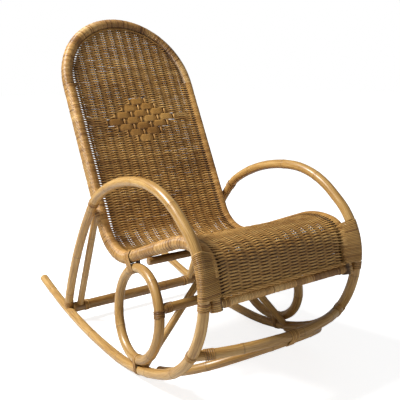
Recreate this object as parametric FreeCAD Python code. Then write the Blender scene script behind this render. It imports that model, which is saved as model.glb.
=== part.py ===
import FreeCAD
import Part
import math
import os

# A rattan rocking chair of bent poles, cane bindings and one woven seat and back.
# Millimetres and degrees. The chair faces -Y and +Z is up. Heights are above the floor, and reaches
# are measured along Y from the point where the rockers touch the floor, until place() centres the chair.

# Pole diameters
LOOP_POLE = 29.0
POST_POLE = 29.0
BACK_BRACE_POLE = 23
RING_POLE = 29.0
REAR_BAR_POLE = 35.8
MID_BAR_POLE = 27.0
STRETCHER_POLE = 27.0
LOW_BRACE_POLE = 25.0
DIAGONAL_POLE = 22.0
HOOP_POLE = 38.0
SEAT_RAIL_POLE = 33.0
FRONT_RAIL_POLE = 24.0
CROSSRAIL_POLE = 22.0

# Cane of the bindings, and the clearance at joints and under the cane
CANE_WIDTH = 5.0
CANE_THICKNESS = 1.6
TURN_GAP = 1.6
FIT = 0.2
CANE_FIT = 0.95
CANE_ROOM = 0.5

# Turns of the wound bindings, and widths of the plain ones
RING_HEAD_TURNS = 5
RING_FOOT_TURNS = 3
SPLICE_TURNS = 4
LOOP_JOINT_BAND = 15.0
STRETCHER_BAND = 26.0
MID_BAR_BAND = 22.0
MID_RING_BAND = 20.0
REAR_BAR_BAND = 18.0
ARM_JOINT_BAND = 24.0
FRONT_RAIL_BAND = 15.0
BAND_STANDOFF = 4.0

# Half distance between the two sides of the seat and back frame
RAIL_HALF_SPAN = 236.0

# Side loop: rocker, front bend, leg and arm, as arcs that follow each other
ROCKER_REAR_RADIUS = 2020.0
ROCKER_FRONT_RADIUS = 705.0
TAIL_REACH = 581.5
ROCKER_FRONT_REACH = 280.5
BEND_RADIUS = 300.0
LOOP_JOINT_RISE = 55.5
STRETCHER_RISE = 55.5
LEG_TOP_RADIUS = 200.0
LEG_TOP_TURN = 52.0
ARM_STRAIGHT = 35.0
ARM_FRONT_RADIUS = 270.0
ARM_TOP_RADIUS = 515.0
ARM_TOP_TURN = 32.0
ARM_REAR_RADIUS = 163.0
ARM_REAR_TURN = 18.0

# Seat and back frame: two straight lines that meet in a virtual corner. At the front the seat goes over a
# gentle crown and a tight roll into a straight drop, which starts behind the foremost point of the legs.
SEAT_CORNER_REACH = 73.1
SEAT_CORNER_HEIGHT = 288.4
SEAT_SLOPE = 22.5
BACK_RECLINE = 27.0
SEAT_BEND_RADIUS = 132.0
BACK_LENGTH = 841.4
CROWN_RADIUS = 200.0
CROWN_TURN = 33.5
FRONT_ROLL_RADIUS = 55.0
SEAT_SETBACK = 26.0
DROP_LEAN = 16.0
DROP_LENGTH = 106.0
FRONT_RAIL_UP = 20.0
CROSSRAIL_DISTANCE = 254.0

# Woven panel, thick over its stakes and thin between them, its border and the diamond of flat splints
PANEL_THICKNESS = 7.0
PANEL_WAIST = 3.4
PANEL_LIFT = 5.0
BORDER_ROD = 9.0
STAKE_SPACING = 34.0
SPLINT_WIDTH = 18.5
SPLINT_THICKNESS = 1.5
SPLINT_ROW_PITCH = 22.5
SPLINT_END_GAP = 3.0
SPLINT_MIDDLE = 471.4
SPLINT_ROWS = (1, 2, 3, 4, 3, 2, 1)

# Where the lower pieces stand along the rockers
POST_REACH = 360.5
REAR_BAR_REACH = 340.5
REAR_BAR_LIFT = 12.0
BACK_BRACE_TOP = 197.4
RING_REACH = 145.0
RING_TURN = 4.5
MID_BAR_RISE = 6.0
DIAGONAL_REACH = 172.0
DIAGONAL_CROSSING = 12.0
STRETCHER_BOW = 77.0
STRETCHER_BOW_LIFT = 13.0
SPLICE_LENGTH = 120.0
LOW_BRACE_REACH = 210.0
LOW_BRACE_RUN = 62.0
LOW_BRACE_TILT = 54.0

# The arm passes outside the hoop with room for the cane between them
LOOP_HALF_SPAN = RAIL_HALF_SPAN + (HOOP_POLE + LOOP_POLE) / 2 + CANE_THICKNESS + CANE_FIT + FIT
SIDES = (("right", -1), ("left", 1))
X_AXIS = FreeCAD.Vector(1, 0, 0)
FORWARD = FreeCAD.Vector(0, -1, 0)

nodes = {}
bindings = {}


def vec(x, y, z):
    return FreeCAD.Vector(x, y, z)


def unit(v):
    return FreeCAD.Vector(v).normalize()


def sin(degrees):
    return math.sin(math.radians(degrees))


def cos(degrees):
    return math.cos(math.radians(degrees))


def one_solid(shape):
    """The main solid of a cut."""
    return max(shape.Solids, key=lambda solid: solid.Volume)


# Paths made of lines and arcs


def line(start, end):
    return Part.LineSegment(start, end).toShape()


def arc_from(start, tangent, end):
    """Arc that leaves start along tangent and stops at end."""
    chord = end - start
    along = unit(chord)
    side = tangent - along * tangent.dot(along)
    if side.Length < 1e-7:
        return line(start, end)
    half_turn = math.atan2(side.Length, tangent.dot(along)) / 2
    middle = (start + end) * 0.5 + unit(side) * (chord.Length / 2 * math.tan(half_turn))
    return Part.Arc(start, middle, end).toShape()


def biarc(start, start_tangent, end, end_tangent):
    """Two arcs that join both ends with the tangents given there."""
    span = end - start
    push = span.dot(start_tangent + end_tangent)
    spread = 2 * (1 - start_tangent.dot(end_tangent))
    if spread < 1e-9:
        reach = span.dot(span) / (2 * push)
    else:
        reach = (math.sqrt(push * push + spread * span.dot(span)) - push) / spread
    first = start + start_tangent * reach
    second = end - end_tangent * reach
    meet = (first + second) * 0.5
    return [arc_from(start, start_tangent, meet), arc_from(meet, unit(second - first), end)]


class Path:
    """A chain of edges, with places along it given by the distance from its start."""

    def __init__(self, edges):
        self.edges = edges
        self.length = sum(edge.Length for edge in edges)
        self.wire = Part.Wire(edges)

    def at(self, distance):
        """Point and direction at a distance from the start."""
        for edge in self.edges:
            if distance <= edge.Length or edge is self.edges[-1]:
                break
            distance -= edge.Length
        parameter = edge.getParameterByLength(min(max(distance, 0.0), edge.Length))
        return edge.valueAt(parameter), unit(edge.tangentAt(parameter))

    def nearest(self, point):
        """Closest point of the path to a point."""
        return self.wire.distToShape(Part.Vertex(point))[1][0][0]

    def place_of(self, point):
        """Distance along the path to the place nearest to a point."""
        closest = self.nearest(point)
        passed = 0.0
        for edge in self.edges:
            if edge.distToShape(Part.Vertex(closest))[0] < 1e-4:
                parameter = edge.Curve.parameter(closest)
                return passed + edge.Curve.length(edge.FirstParameter, parameter)
            passed += edge.Length

    def part(self, first, last):
        """Short stretch of the path as one arc or line."""
        start, direction = self.at(first)
        return Path([arc_from(start, direction, self.at(last)[0])])


def straight(start, end):
    return Path([line(start, end)])


def tube(path, diameter):
    """Round pole along a path."""
    start, direction = path.at(0)
    ring = Part.Wire(Part.Circle(start, direction, diameter / 2).toShape())
    return path.wire.makePipeShell([ring], True, False)


def grown(path, diameter):
    """Pole with the joint clearance round it, as a cutter."""
    return tube(path, diameter + 2 * FIT)


# Arcs in the side view. Rise is the angle of a path above the level line that points forward.


def heading(rise):
    return vec(0, -cos(rise), sin(rise))


def upward(rise):
    """Direction square to the heading, on the side that the path curls to."""
    return vec(0, sin(rise), cos(rise))


def turn(start, rise, radius, degrees):
    """Arc that curls up from start, with the point and the rise where it ends."""
    hub = start + upward(rise) * radius
    middle = hub - upward(rise + degrees / 2) * radius
    end = hub - upward(rise + degrees) * radius
    return Part.Arc(start, middle, end).toShape(), end, rise + degrees


def rocker_point(x, reach):
    """Centre and rise of a rocker at a reach behind (positive) or ahead (negative) of the contact."""
    radius = ROCKER_REAR_RADIUS if reach > 0 else ROCKER_FRONT_RADIUS
    rise = -math.degrees(math.asin(reach / radius))
    hub = vec(x, 0, LOOP_POLE / 2 + radius)
    return hub - upward(rise) * radius, rise


def bend_point(x, rise):
    """Centre of the side loop in its front bend."""
    foot, foot_rise = rocker_point(x, -ROCKER_FRONT_REACH)
    return foot + (upward(foot_rise) - upward(rise)) * BEND_RADIUS


def rocker_path(x):
    tail, tail_rise = rocker_point(x, TAIL_REACH)
    contact = vec(x, 0, LOOP_POLE / 2)
    front, front_rise = rocker_point(x, -ROCKER_FRONT_REACH)
    back = turn(tail, tail_rise, ROCKER_REAR_RADIUS, -tail_rise)[0]
    fore = turn(contact, 0, ROCKER_FRONT_RADIUS, front_rise)[0]
    bend = turn(front, front_rise, BEND_RADIUS, LOOP_JOINT_RISE - front_rise)[0]
    return Path([back, fore, bend])


def arm_path(x):
    """Front leg and arm, from the joint in the front bend to the joint with the rear post."""
    joint = bend_point(x, LOOP_JOINT_RISE)
    bend, point, rise = turn(joint, LOOP_JOINT_RISE, BEND_RADIUS, 90 - LOOP_JOINT_RISE)
    leg_top, point, rise = turn(point, rise, LEG_TOP_RADIUS, LEG_TOP_TURN)
    slope_end = point + heading(rise) * ARM_STRAIGHT
    slope = line(point, slope_end)
    front, point, rise = turn(slope_end, rise, ARM_FRONT_RADIUS, 180 - rise)
    top, point, rise = turn(point, rise, ARM_TOP_RADIUS, ARM_TOP_TURN)
    rear, point, rise = turn(point, rise, ARM_REAR_RADIUS, ARM_REAR_TURN)
    return Path([bend, leg_top, slope, front, top, rear])


# Seat and back frame


SEAT_TURN = 90 - BACK_RECLINE + SEAT_SLOPE
SEAT_BEND_RUN = SEAT_BEND_RADIUS * math.tan(math.radians(SEAT_TURN / 2))
ROLL_FALL = CROWN_TURN - SEAT_SLOPE
ROLL_TURN = 90 - DROP_LEAN - ROLL_FALL
CROWN_REACH = CROWN_RADIUS * (sin(SEAT_SLOPE) + sin(ROLL_FALL))
ROLL_REACH = FRONT_ROLL_RADIUS * (cos(DROP_LEAN) - sin(ROLL_FALL))
SEAT_REACH = SEAT_CORNER_REACH - bend_point(0, 90).y - SEAT_SETBACK - CROWN_REACH - ROLL_REACH
SEAT_LENGTH = SEAT_REACH / cos(SEAT_SLOPE)
BACK_UP = vec(0, sin(BACK_RECLINE), cos(BACK_RECLINE))
BACK_FACE = vec(0, -cos(BACK_RECLINE), sin(BACK_RECLINE))
DROP_DOWN = vec(0, -sin(DROP_LEAN), -cos(DROP_LEAN))
DROP_FACE = vec(0, -cos(DROP_LEAN), sin(DROP_LEAN))


def seat_point(x, distance):
    """Point of the seat frame at a distance forward of the virtual corner."""
    return vec(x, SEAT_CORNER_REACH, SEAT_CORNER_HEIGHT) + heading(SEAT_SLOPE) * distance


def back_point(x, distance):
    """Point of the back frame at a distance up from the virtual corner."""
    return vec(x, SEAT_CORNER_REACH, SEAT_CORNER_HEIGHT) + BACK_UP * distance


def front_arcs(x, lift):
    """Crown and roll of the seat's front at a lift above the frame's centre line, and where they end."""
    start = seat_point(x, SEAT_LENGTH) + upward(SEAT_SLOPE) * lift
    crown, point, rise = turn(start, SEAT_SLOPE, -CROWN_RADIUS - lift, -CROWN_TURN)
    roll, point, rise = turn(point, rise, -FRONT_ROLL_RADIUS - lift, -ROLL_TURN)
    return crown, roll, point


def drop_point(x, distance):
    """Point of the front drop at a distance down from the end of the roll."""
    return front_arcs(x, 0)[2] + DROP_DOWN * distance


def ring_touches(side):
    """Where a ring's centre line comes nearest to rocker and seat frame, and its side view centre."""
    rocker, rise = rocker_point(side * LOOP_HALF_SPAN, -RING_REACH)
    foot = rocker + upward(rise) * ((LOOP_POLE + RING_POLE) / 2 + FIT)
    seat_up = upward(SEAT_SLOPE)
    room = (seat_point(0, 0) - foot).dot(seat_up) - (HOOP_POLE + RING_POLE) / 2 - FIT
    radius = room / (1 + cos(SEAT_SLOPE - rise))
    hub = foot + upward(rise) * radius
    head = hub + seat_up * radius
    head.x = side * RAIL_HALF_SPAN
    return foot, head, hub


RING_HEAD_DISTANCE = (ring_touches(1)[1] - seat_point(0, 0)).dot(heading(SEAT_SLOPE))
FRAME_JOINT = max(RING_HEAD_DISTANCE, SEAT_BEND_RUN + CANE_WIDTH)


def hoop_path():
    """Back hoop: up one side, over the arch and down the other, each end over the head of a ring."""
    arch_base = BACK_LENGTH - RAIL_HALF_SPAN
    right = -RAIL_HALF_SPAN
    left = RAIL_HALF_SPAN
    seat_start = seat_point(right, SEAT_BEND_RUN)
    seat_end = seat_point(left, SEAT_BEND_RUN)
    arch = Part.Arc(back_point(right, arch_base), back_point(0, BACK_LENGTH), back_point(left, arch_base))
    return Path([line(seat_point(right, FRAME_JOINT), seat_start),
                 arc_from(seat_start, heading(SEAT_SLOPE) * -1, back_point(right, SEAT_BEND_RUN)),
                 line(back_point(right, SEAT_BEND_RUN), back_point(right, arch_base)),
                 arch.toShape(),
                 line(back_point(left, arch_base), back_point(left, SEAT_BEND_RUN)),
                 arc_from(back_point(left, SEAT_BEND_RUN), BACK_UP * -1, seat_end),
                 line(seat_end, seat_point(left, FRAME_JOINT))])


def seat_rail_path(x):
    """Seat rail: from the hoop's end along the seat, over crown and roll and down inside the leg."""
    crown, roll, drop_start = front_arcs(x, 0)
    return Path([line(seat_point(x, FRAME_JOINT), seat_point(x, SEAT_LENGTH)),
                 crown,
                 roll,
                 line(drop_start, drop_point(x, DROP_LENGTH))])


# Cane bindings


CANE_PITCH = CANE_WIDTH + TURN_GAP
LEG_WRAP_ROOM = DROP_LENGTH - FRONT_RAIL_UP - FRONT_RAIL_POLE / 2 - CANE_WIDTH
LEG_WRAP_TURNS = int(LEG_WRAP_ROOM // CANE_PITCH)


def over_cane(diameter):
    """Diameter of a pole with its cane on, and the room outside that."""
    return diameter + 2 * (CANE_FIT + CANE_THICKNESS + CANE_ROOM)


def cane_radius(diameter):
    """Radius of the cane's middle where it lies on a pole."""
    return diameter / 2 + CANE_FIT + CANE_THICKNESS / 2


def across_poles(path, place, other):
    """Centre of a pole at a place, the mean direction of both poles, and the step across to the other."""
    centre, direction = path.at(place)
    spot = other.nearest(centre)
    for settle in range(5):
        beside = other.at(other.place_of(spot))[1]
        axis = unit(direction + beside * math.copysign(1, beside.dot(direction)))
        gap = spot - centre
        gap = gap - axis * axis.dot(gap)
        spot = other.nearest(centre + gap)
    return centre, axis, gap


def lashing_corners(path, first, turns, radius, other, other_radius):
    """The four corners of each turn round two poles, where the cane leaves or meets a pole."""
    corners = []
    for quarter in range(4 * turns + 1):
        centre, axis, gap = across_poles(path, first + CANE_PITCH * quarter / 4, other)
        across = unit(gap)
        lean = (radius - other_radius) / gap.Length
        sign = 1 if quarter % 4 in (0, 3) else -1
        out = axis.cross(across) * (sign * math.sqrt(1 - lean * lean)) + across * lean
        if quarter % 4 in (0, 1):
            corners.append((centre + out * radius, out))
        else:
            corners.append((centre + gap + out * other_radius, out))
    return corners


def least_gap(edges, turns):
    """Least gap between neighbouring turns, measured on points along the middle of the cane."""
    per_edge = 6
    points = []
    for edge in edges:
        step = (edge.LastParameter - edge.FirstParameter) / per_edge
        points += [edge.valueAt(edge.FirstParameter + step * i) for i in range(per_edge)]
    half_turn = len(points) // turns // 2
    nearest = min(points[i].distanceToPoint(points[j])
                  for i in range(len(points))
                  for j in range(i + half_turn, min(i + 3 * half_turn, len(points))))
    return nearest - CANE_WIDTH


def lashing(name, path, place, turns, diameter, other, other_diameter):
    """Flat cane wound round two poles side by side, as one unbroken strip centred on a place."""
    first = place - turns * CANE_PITCH / 2
    radius = cane_radius(diameter)
    corners = lashing_corners(path, first, turns, radius, other, cane_radius(other_diameter))
    points = [corner[0] for corner in corners]
    tangent = unit(points[4] - points[3])
    edges = []
    into = tangent
    for i in range(0, 4 * turns, 4):
        start, near, far, end, close = points[i:i + 5]
        across = unit(far - near)
        back = unit(close - end)
        edges += biarc(start, into, near, across)
        edges.append(line(near, far))
        edges += biarc(far, across, end, back)
        edges.append(line(end, close))
        into = back
    out = unit(corners[0][1] - tangent * tangent.dot(corners[0][1]))
    half_width = tangent.cross(out) * (CANE_WIDTH / 2)
    half_depth = out * (CANE_THICKNESS / 2)
    round_about = ((1, 1), (-1, 1), (-1, -1), (1, -1), (1, 1))
    section = [points[0] + half_width * i + half_depth * j for i, j in round_about]
    sweep = Part.BRepOffsetAPI.MakePipeShell(Part.Wire(edges))
    sweep.setBiNormalMode(across_poles(path, place, other)[1])
    sweep.add(Part.makePolygon(section), False, False)
    sweep.build()
    sweep.makeSolid()
    bindings.setdefault(name, []).append(sweep.shape())
    print(name, "turns", turns, "least gap to itself", round(least_gap(edges, turns), 2), "mm")


def band(name, path, diameter, *cutters):
    """Plain band of cane round a short stretch of pole, open where another pole meets it."""
    outer = tube(path, diameter + 2 * (CANE_FIT + CANE_THICKNESS))
    inner = tube(path, diameter + 2 * CANE_FIT)
    bindings.setdefault(name, []).append(one_solid(outer.cut([inner, *cutters])))


# The chair, from the loops up


rockers = {side: rocker_path(side * LOOP_HALF_SPAN) for name, side in SIDES}
arms = {side: arm_path(side * LOOP_HALF_SPAN) for name, side in SIDES}
seat_rails = {side: seat_rail_path(side * RAIL_HALF_SPAN) for name, side in SIDES}
hoop = hoop_path()


def side_loops():
    for name, side in SIDES:
        nodes[name + "_rocker"] = tube(rockers[side], LOOP_POLE)
        nodes[name + "_arm"] = tube(arms[side], LOOP_POLE)
        half = LOOP_JOINT_BAND / 2
        start, direction = rockers[side].at(rockers[side].length - half)
        over_joint = Path([arc_from(start, direction, arms[side].at(half)[0])])
        band("loop_joint_bindings", over_joint, LOOP_POLE, grown(stretcher_path(), STRETCHER_POLE))


def rear_posts():
    """Post that carries the arm's curve on down to the rocker, bound to the arm end to end."""
    for name, side in SIDES:
        top, direction = arms[side].at(arms[side].length)
        foot = rocker_point(side * LOOP_HALF_SPAN, POST_REACH)[0]
        path = Path([arc_from(top, direction, foot)])
        nodes[name + "_rear_post"] = one_solid(tube(path, POST_POLE).cut(grown(rockers[side], LOOP_POLE)))
        half = ARM_JOINT_BAND / 2
        start, direction = arms[side].at(arms[side].length - half)
        over_joint = Path([arc_from(start, direction, path.at(half)[0])])
        band("arm_joint_bindings", over_joint, LOOP_POLE)


def seat_frame():
    nodes["back_hoop"] = tube(hoop, HOOP_POLE)
    for name, side in SIDES:
        nodes[name + "_seat_rail"] = tube(seat_rails[side], SEAT_RAIL_POLE)
    cutters = [grown(seat_rails[side], SEAT_RAIL_POLE) for name, side in SIDES]
    nodes["front_rail"] = one_solid(tube(front_rail_path(), FRONT_RAIL_POLE).cut(cutters))
    for stretch in front_rail_band_paths():
        band("front_rail_bindings", stretch, FRONT_RAIL_POLE)


def front_rail_path():
    height = DROP_LENGTH - FRONT_RAIL_UP
    return straight(drop_point(-RAIL_HALF_SPAN, height), drop_point(RAIL_HALF_SPAN, height))


def front_rail_band_paths():
    """Stretches of the front rail under its two bindings."""
    front = front_rail_path()
    near_end = over_cane(SEAT_RAIL_POLE) / 2 + BAND_STANDOFF
    far_end = front.length - near_end
    return (front.part(near_end, near_end + FRONT_RAIL_BAND),
            front.part(far_end - FRONT_RAIL_BAND, far_end))


def crossrail_path():
    """Bar that lies under both seat rails."""
    drop = upward(SEAT_SLOPE) * -((SEAT_RAIL_POLE + CROSSRAIL_POLE) / 2 + FIT)
    reach = RAIL_HALF_SPAN + SEAT_RAIL_POLE / 2
    return straight(seat_point(-reach, CROSSRAIL_DISTANCE) + drop,
                    seat_point(reach, CROSSRAIL_DISTANCE) + drop)


def leg_wraps():
    """Close winding that holds each seat rail's drop to the front leg."""
    for name, side in SIDES:
        middle = drop_point(side * RAIL_HALF_SPAN, DROP_LENGTH - FRONT_RAIL_UP - FRONT_RAIL_POLE / 2
                            - LEG_WRAP_TURNS * CANE_PITCH / 2)
        place = arms[side].place_of(middle)
        lashing("leg_wraps", arms[side], place, LEG_WRAP_TURNS, LOOP_POLE,
                seat_rails[side], SEAT_RAIL_POLE)


def frame_joint_path(side):
    """Stretch of the frame under a ring head binding, half on the hoop and half on the seat rail."""
    half = (RING_HEAD_TURNS / 2 + 1) * CANE_PITCH
    start, backward = hoop.at(half)
    start.x = side * RAIL_HALF_SPAN
    return Path([arc_from(start, backward * -1, seat_rails[side].at(half)[0])])


class Ring:
    """A ring's centre line, with places on it given by the angle above its foremost point."""

    def __init__(self, side):
        self.foot, self.head, side_hub = ring_touches(side)
        middle = (self.foot + self.head) * 0.5
        self.upright = unit(self.head - self.foot)
        ahead = unit(FORWARD - self.upright * self.upright.dot(FORWARD))
        outward = self.upright.cross(ahead) * side
        self.forward = ahead * cos(RING_TURN) + outward * sin(RING_TURN)
        self.hub = middle + self.forward * ahead.dot(side_hub - middle)
        self.radius = self.hub.distanceToPoint(self.foot)
        self.path = Path([Part.Arc(self.at(a), self.at(a + 45), self.at(a + 90)).toShape()
                          for a in (-90, 0, 90, 180)])

    def at(self, degrees):
        return self.hub + (self.forward * cos(degrees) + self.upright * sin(degrees)) * self.radius


rings = {side: Ring(side) for name, side in SIDES}


def side_rings():
    """Ring on each side, standing on the rocker under the joint of hoop and seat rail."""
    for name, side in SIDES:
        ring = rings[side]
        normal = ring.forward.cross(ring.upright)
        nodes[name + "_ring"] = Part.makeTorus(ring.radius, RING_POLE / 2, ring.hub, normal)
        foot = rockers[side].place_of(ring.foot)
        lashing("ring_foot_bindings", rockers[side], foot, RING_FOOT_TURNS, LOOP_POLE,
                ring.path, RING_POLE)
        joint = frame_joint_path(side)
        lashing("ring_head_bindings", joint, joint.length / 2, RING_HEAD_TURNS, HOOP_POLE,
                ring.path, RING_POLE)


def mid_bar():
    """Bar between the front limbs of the rings, bound on the bar and on the rings."""
    path = straight(rings[-1].at(MID_BAR_RISE), rings[1].at(MID_BAR_RISE))
    cutters = [grown(rings[side].path, RING_POLE) for name, side in SIDES]
    nodes["mid_bar"] = one_solid(tube(path, MID_BAR_POLE).cut(cutters))
    near_end = RING_POLE / 2 + BAND_STANDOFF
    far_end = path.length - near_end
    band("mid_bar_bindings", path.part(near_end, near_end + MID_BAR_BAND), MID_BAR_POLE)
    band("mid_bar_bindings", path.part(far_end - MID_BAR_BAND, far_end), MID_BAR_POLE)
    for name, side in SIDES:
        ring = rings[side].path
        half = MID_RING_BAND / 2
        place = ring.place_of(rings[side].at(MID_BAR_RISE)) - half
        band("ring_bindings", ring.part(place - half, place + half), RING_POLE, grown(path, MID_BAR_POLE))


def rear_bars():
    """Bar between the rockers behind, and a brace from it up to the back hoop on each side."""
    ends = [rocker_point(side * LOOP_HALF_SPAN, REAR_BAR_REACH)[0] + vec(0, 0, REAR_BAR_LIFT)
            for name, side in SIDES]
    bar = straight(*ends)
    cutters = [grown(rockers[side], LOOP_POLE) for name, side in SIDES]
    cutters += [nodes[name + "_rear_post"] for name, side in SIDES]
    nodes["rear_bar"] = one_solid(tube(bar, REAR_BAR_POLE).cut(cutters))
    for name, side in SIDES:
        x = side * RAIL_HALF_SPAN
        path = straight(back_point(x, BACK_BRACE_TOP), vec(x, ends[0].y, ends[0].z))
        cutters = [grown(hoop, HOOP_POLE), grown(bar, REAR_BAR_POLE)]
        nodes[name + "_back_brace"] = one_solid(tube(path, BACK_BRACE_POLE).cut(cutters))
    inset = LOOP_HALF_SPAN - RAIL_HALF_SPAN + BACK_BRACE_POLE / 2 + BAND_STANDOFF
    far_end = bar.length - inset
    band("rear_bar_bindings", bar.part(inset, inset + REAR_BAR_BAND), REAR_BAR_POLE)
    band("rear_bar_bindings", bar.part(far_end - REAR_BAR_BAND, far_end), REAR_BAR_POLE)


def stretcher_apex():
    return bend_point(0, STRETCHER_RISE) + vec(0, -STRETCHER_BOW, STRETCHER_BOW_LIFT)


def stretcher_path():
    ends = [bend_point(side * LOOP_HALF_SPAN, STRETCHER_RISE) for name, side in SIDES]
    return Path([Part.Arc(ends[0], stretcher_apex(), ends[1]).toShape()])


def front_stretcher():
    """Bowed front stretcher, two poles joined in the middle by a slanting splice."""
    path = stretcher_path()
    cutters = [grown(arms[side], LOOP_POLE) for name, side in SIDES]
    cutters += [grown(rockers[side], LOOP_POLE) for name, side in SIDES]
    whole = tube(path, STRETCHER_POLE).cut(cutters)
    reach = 2 * LOOP_HALF_SPAN
    for name, side in SIDES:
        normal = unit(vec(STRETCHER_POLE, 0, SPLICE_LENGTH)) * side
        half_space = Part.makeCylinder(reach, reach, stretcher_apex() + normal * (FIT / 2), normal)
        nodes["front_stretcher_" + name] = one_solid(whole.common(half_space))
    near_end = (LOOP_POLE + STRETCHER_POLE) / 2 + BAND_STANDOFF
    far_end = path.length - near_end
    band("stretcher_bindings", path.part(near_end, near_end + STRETCHER_BAND), STRETCHER_POLE)
    band("stretcher_bindings", path.part(far_end - STRETCHER_BAND, far_end), STRETCHER_POLE)
    return path


def low_brace(stretcher):
    """Bent brace inside the rockers, from ring foot to ring foot, its middle tied under the stretcher."""
    x = LOOP_HALF_SPAN - (LOOP_POLE + LOW_BRACE_POLE) / 2 - FIT
    under = (STRETCHER_POLE + LOW_BRACE_POLE) / 2 + FIT
    middle = stretcher_apex() + vec(0, cos(LOW_BRACE_TILT), -sin(LOW_BRACE_TILT)) * under
    leave_reach = -LOW_BRACE_REACH - LOW_BRACE_RUN
    right_end, rise = rocker_point(-x, -LOW_BRACE_REACH)
    right_leave, leave_rise = rocker_point(-x, leave_reach)
    left_leave = rocker_point(x, leave_reach)[0]
    left_end = rocker_point(x, -LOW_BRACE_REACH)[0]
    back = heading(leave_rise) * -1
    edges = [arc_from(right_end, heading(rise), right_leave)]
    edges += biarc(right_leave, heading(leave_rise), middle, X_AXIS)
    edges += biarc(middle, X_AXIS, left_leave, back)
    edges += [arc_from(left_leave, back, left_end)]
    path = Path(edges)
    nodes["low_brace"] = tube(path, LOW_BRACE_POLE)
    lashing("splice_binding", stretcher, stretcher.length / 2, SPLICE_TURNS, STRETCHER_POLE,
            path, LOW_BRACE_POLE)


def diagonals():
    """Two braces that cross under the seat, each from a rocker up to the far half of the crossrail."""
    rail = crossrail_path()
    nodes["seat_crossrail"] = tube(rail, CROSSRAIL_POLE)
    top = rail.at(0)[0]
    for name, side in SIDES:
        offset = side * (DIAGONAL_POLE / 2 + FIT)
        foot = rocker_point(side * LOOP_HALF_SPAN, -DIAGONAL_REACH - offset)[0]
        path = straight(foot, vec(-side * DIAGONAL_CROSSING, foot.y, top.z))
        cutters = [grown(rockers[side], LOOP_POLE),
                   grown(rings[side].path, RING_POLE),
                   grown(rail, CROSSRAIL_POLE)]
        nodes[name + "_diagonal"] = one_solid(tube(path, DIAGONAL_POLE).cut(cutters))


def panel_path():
    """Side view of the woven panel's middle, which lies to the sitter's side of the frame."""
    back_top = back_point(0, BACK_LENGTH) + BACK_FACE * PANEL_LIFT
    back_end = back_point(0, SEAT_BEND_RUN) + BACK_FACE * PANEL_LIFT
    seat_start = seat_point(0, SEAT_BEND_RUN) + upward(SEAT_SLOPE) * PANEL_LIFT
    seat_end = seat_point(0, SEAT_LENGTH) + upward(SEAT_SLOPE) * PANEL_LIFT
    crown, roll, drop_start = front_arcs(0, PANEL_LIFT)
    drop_end = drop_point(0, DROP_LENGTH - FRONT_RAIL_UP) + DROP_FACE * PANEL_LIFT
    return Path([line(back_top, back_end),
                 arc_from(back_end, BACK_UP * -1, seat_start),
                 line(seat_start, seat_end),
                 crown,
                 roll,
                 line(drop_start, drop_end)])


def sheet_section(centre, out):
    """Section across the woven sheet, thick over each stake and thin between two stakes."""
    stakes = int(RAIL_HALF_SPAN / STAKE_SPACING - 0.5)
    edges = []
    rims = []
    for half in (0.5, -0.5):
        waist = centre + out * (half * PANEL_WAIST)
        crest = centre + out * (half * PANEL_THICKNESS)
        waists = [waist + X_AXIS * ((i - 0.5) * STAKE_SPACING) for i in range(-stakes, stakes + 2)]
        crests = [crest + X_AXIS * (i * STAKE_SPACING) for i in range(-stakes, stakes + 1)]
        rim = [waist - X_AXIS * RAIL_HALF_SPAN, waist + X_AXIS * RAIL_HALF_SPAN]
        edges += [line(rim[0], waists[0]), line(waists[-1], rim[1])]
        edges += [Part.Arc(*points).toShape() for points in zip(waists, crests, waists[1:])]
        rims.append(rim)
    edges += [line(*pair) for pair in zip(*rims)]
    return Part.Wire(Part.__sortEdges__(edges))


def woven_panel():
    """One woven sheet from the top of the arch over the seat and down to the front rail."""
    path = panel_path()
    sweep = Part.BRepOffsetAPI.MakePipeShell(path.wire)
    sweep.setBiNormalMode(X_AXIS)
    sweep.add(sheet_section(path.at(0)[0], BACK_FACE), False, False)
    sweep.build()
    sweep.makeSolid()
    sheet = sweep.shape()
    arch_base = BACK_LENGTH - RAIL_HALF_SPAN
    depth = BACK_FACE * (2 * HOOP_POLE)
    above_hoop = BACK_LENGTH + HOOP_POLE
    corners = [back_point(-RAIL_HALF_SPAN, arch_base), back_point(-RAIL_HALF_SPAN, above_hoop),
               back_point(RAIL_HALF_SPAN, above_hoop), back_point(RAIL_HALF_SPAN, arch_base)]
    arch = Part.Arc(corners[3], back_point(0, BACK_LENGTH), corners[0]).toShape()
    above = Part.Face(Part.Wire([line(*pair) for pair in zip(corners, corners[1:])] + [arch]))
    above.translate(depth * -0.5)
    border = straight(drop_point(-RAIL_HALF_SPAN, border_height()) + DROP_FACE * border_offset(),
                      drop_point(RAIL_HALF_SPAN, border_height()) + DROP_FACE * border_offset())
    front = front_rail_path()
    drops = []
    joints = []
    rails = []
    for name, side in SIDES:
        x = side * RAIL_HALF_SPAN
        drop = straight(drop_point(x, 0), drop_point(x, DROP_LENGTH))
        drops.append(tube(drop, over_cane(SEAT_RAIL_POLE)))
        joints.append(tube(frame_joint_path(side), over_cane(HOOP_POLE)))
        rails.append(grown(seat_rails[side], SEAT_RAIL_POLE))
    bands = [tube(stretch, over_cane(FRONT_RAIL_POLE)) for stretch in front_rail_band_paths()]
    cutters = [above.extrude(depth), grown(hoop, HOOP_POLE), grown(front, FRONT_RAIL_POLE)]
    nodes["woven_panel"] = one_solid(sheet.cut(cutters + rails + drops + joints + bands))
    nodes["front_border"] = one_solid(tube(border, BORDER_ROD).cut(drops))


def border_height():
    return DROP_LENGTH - FRONT_RAIL_UP - over_cane(FRONT_RAIL_POLE) / 2


def border_offset():
    return PANEL_LIFT + (PANEL_THICKNESS + BORDER_ROD) / 2 + FIT


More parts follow.
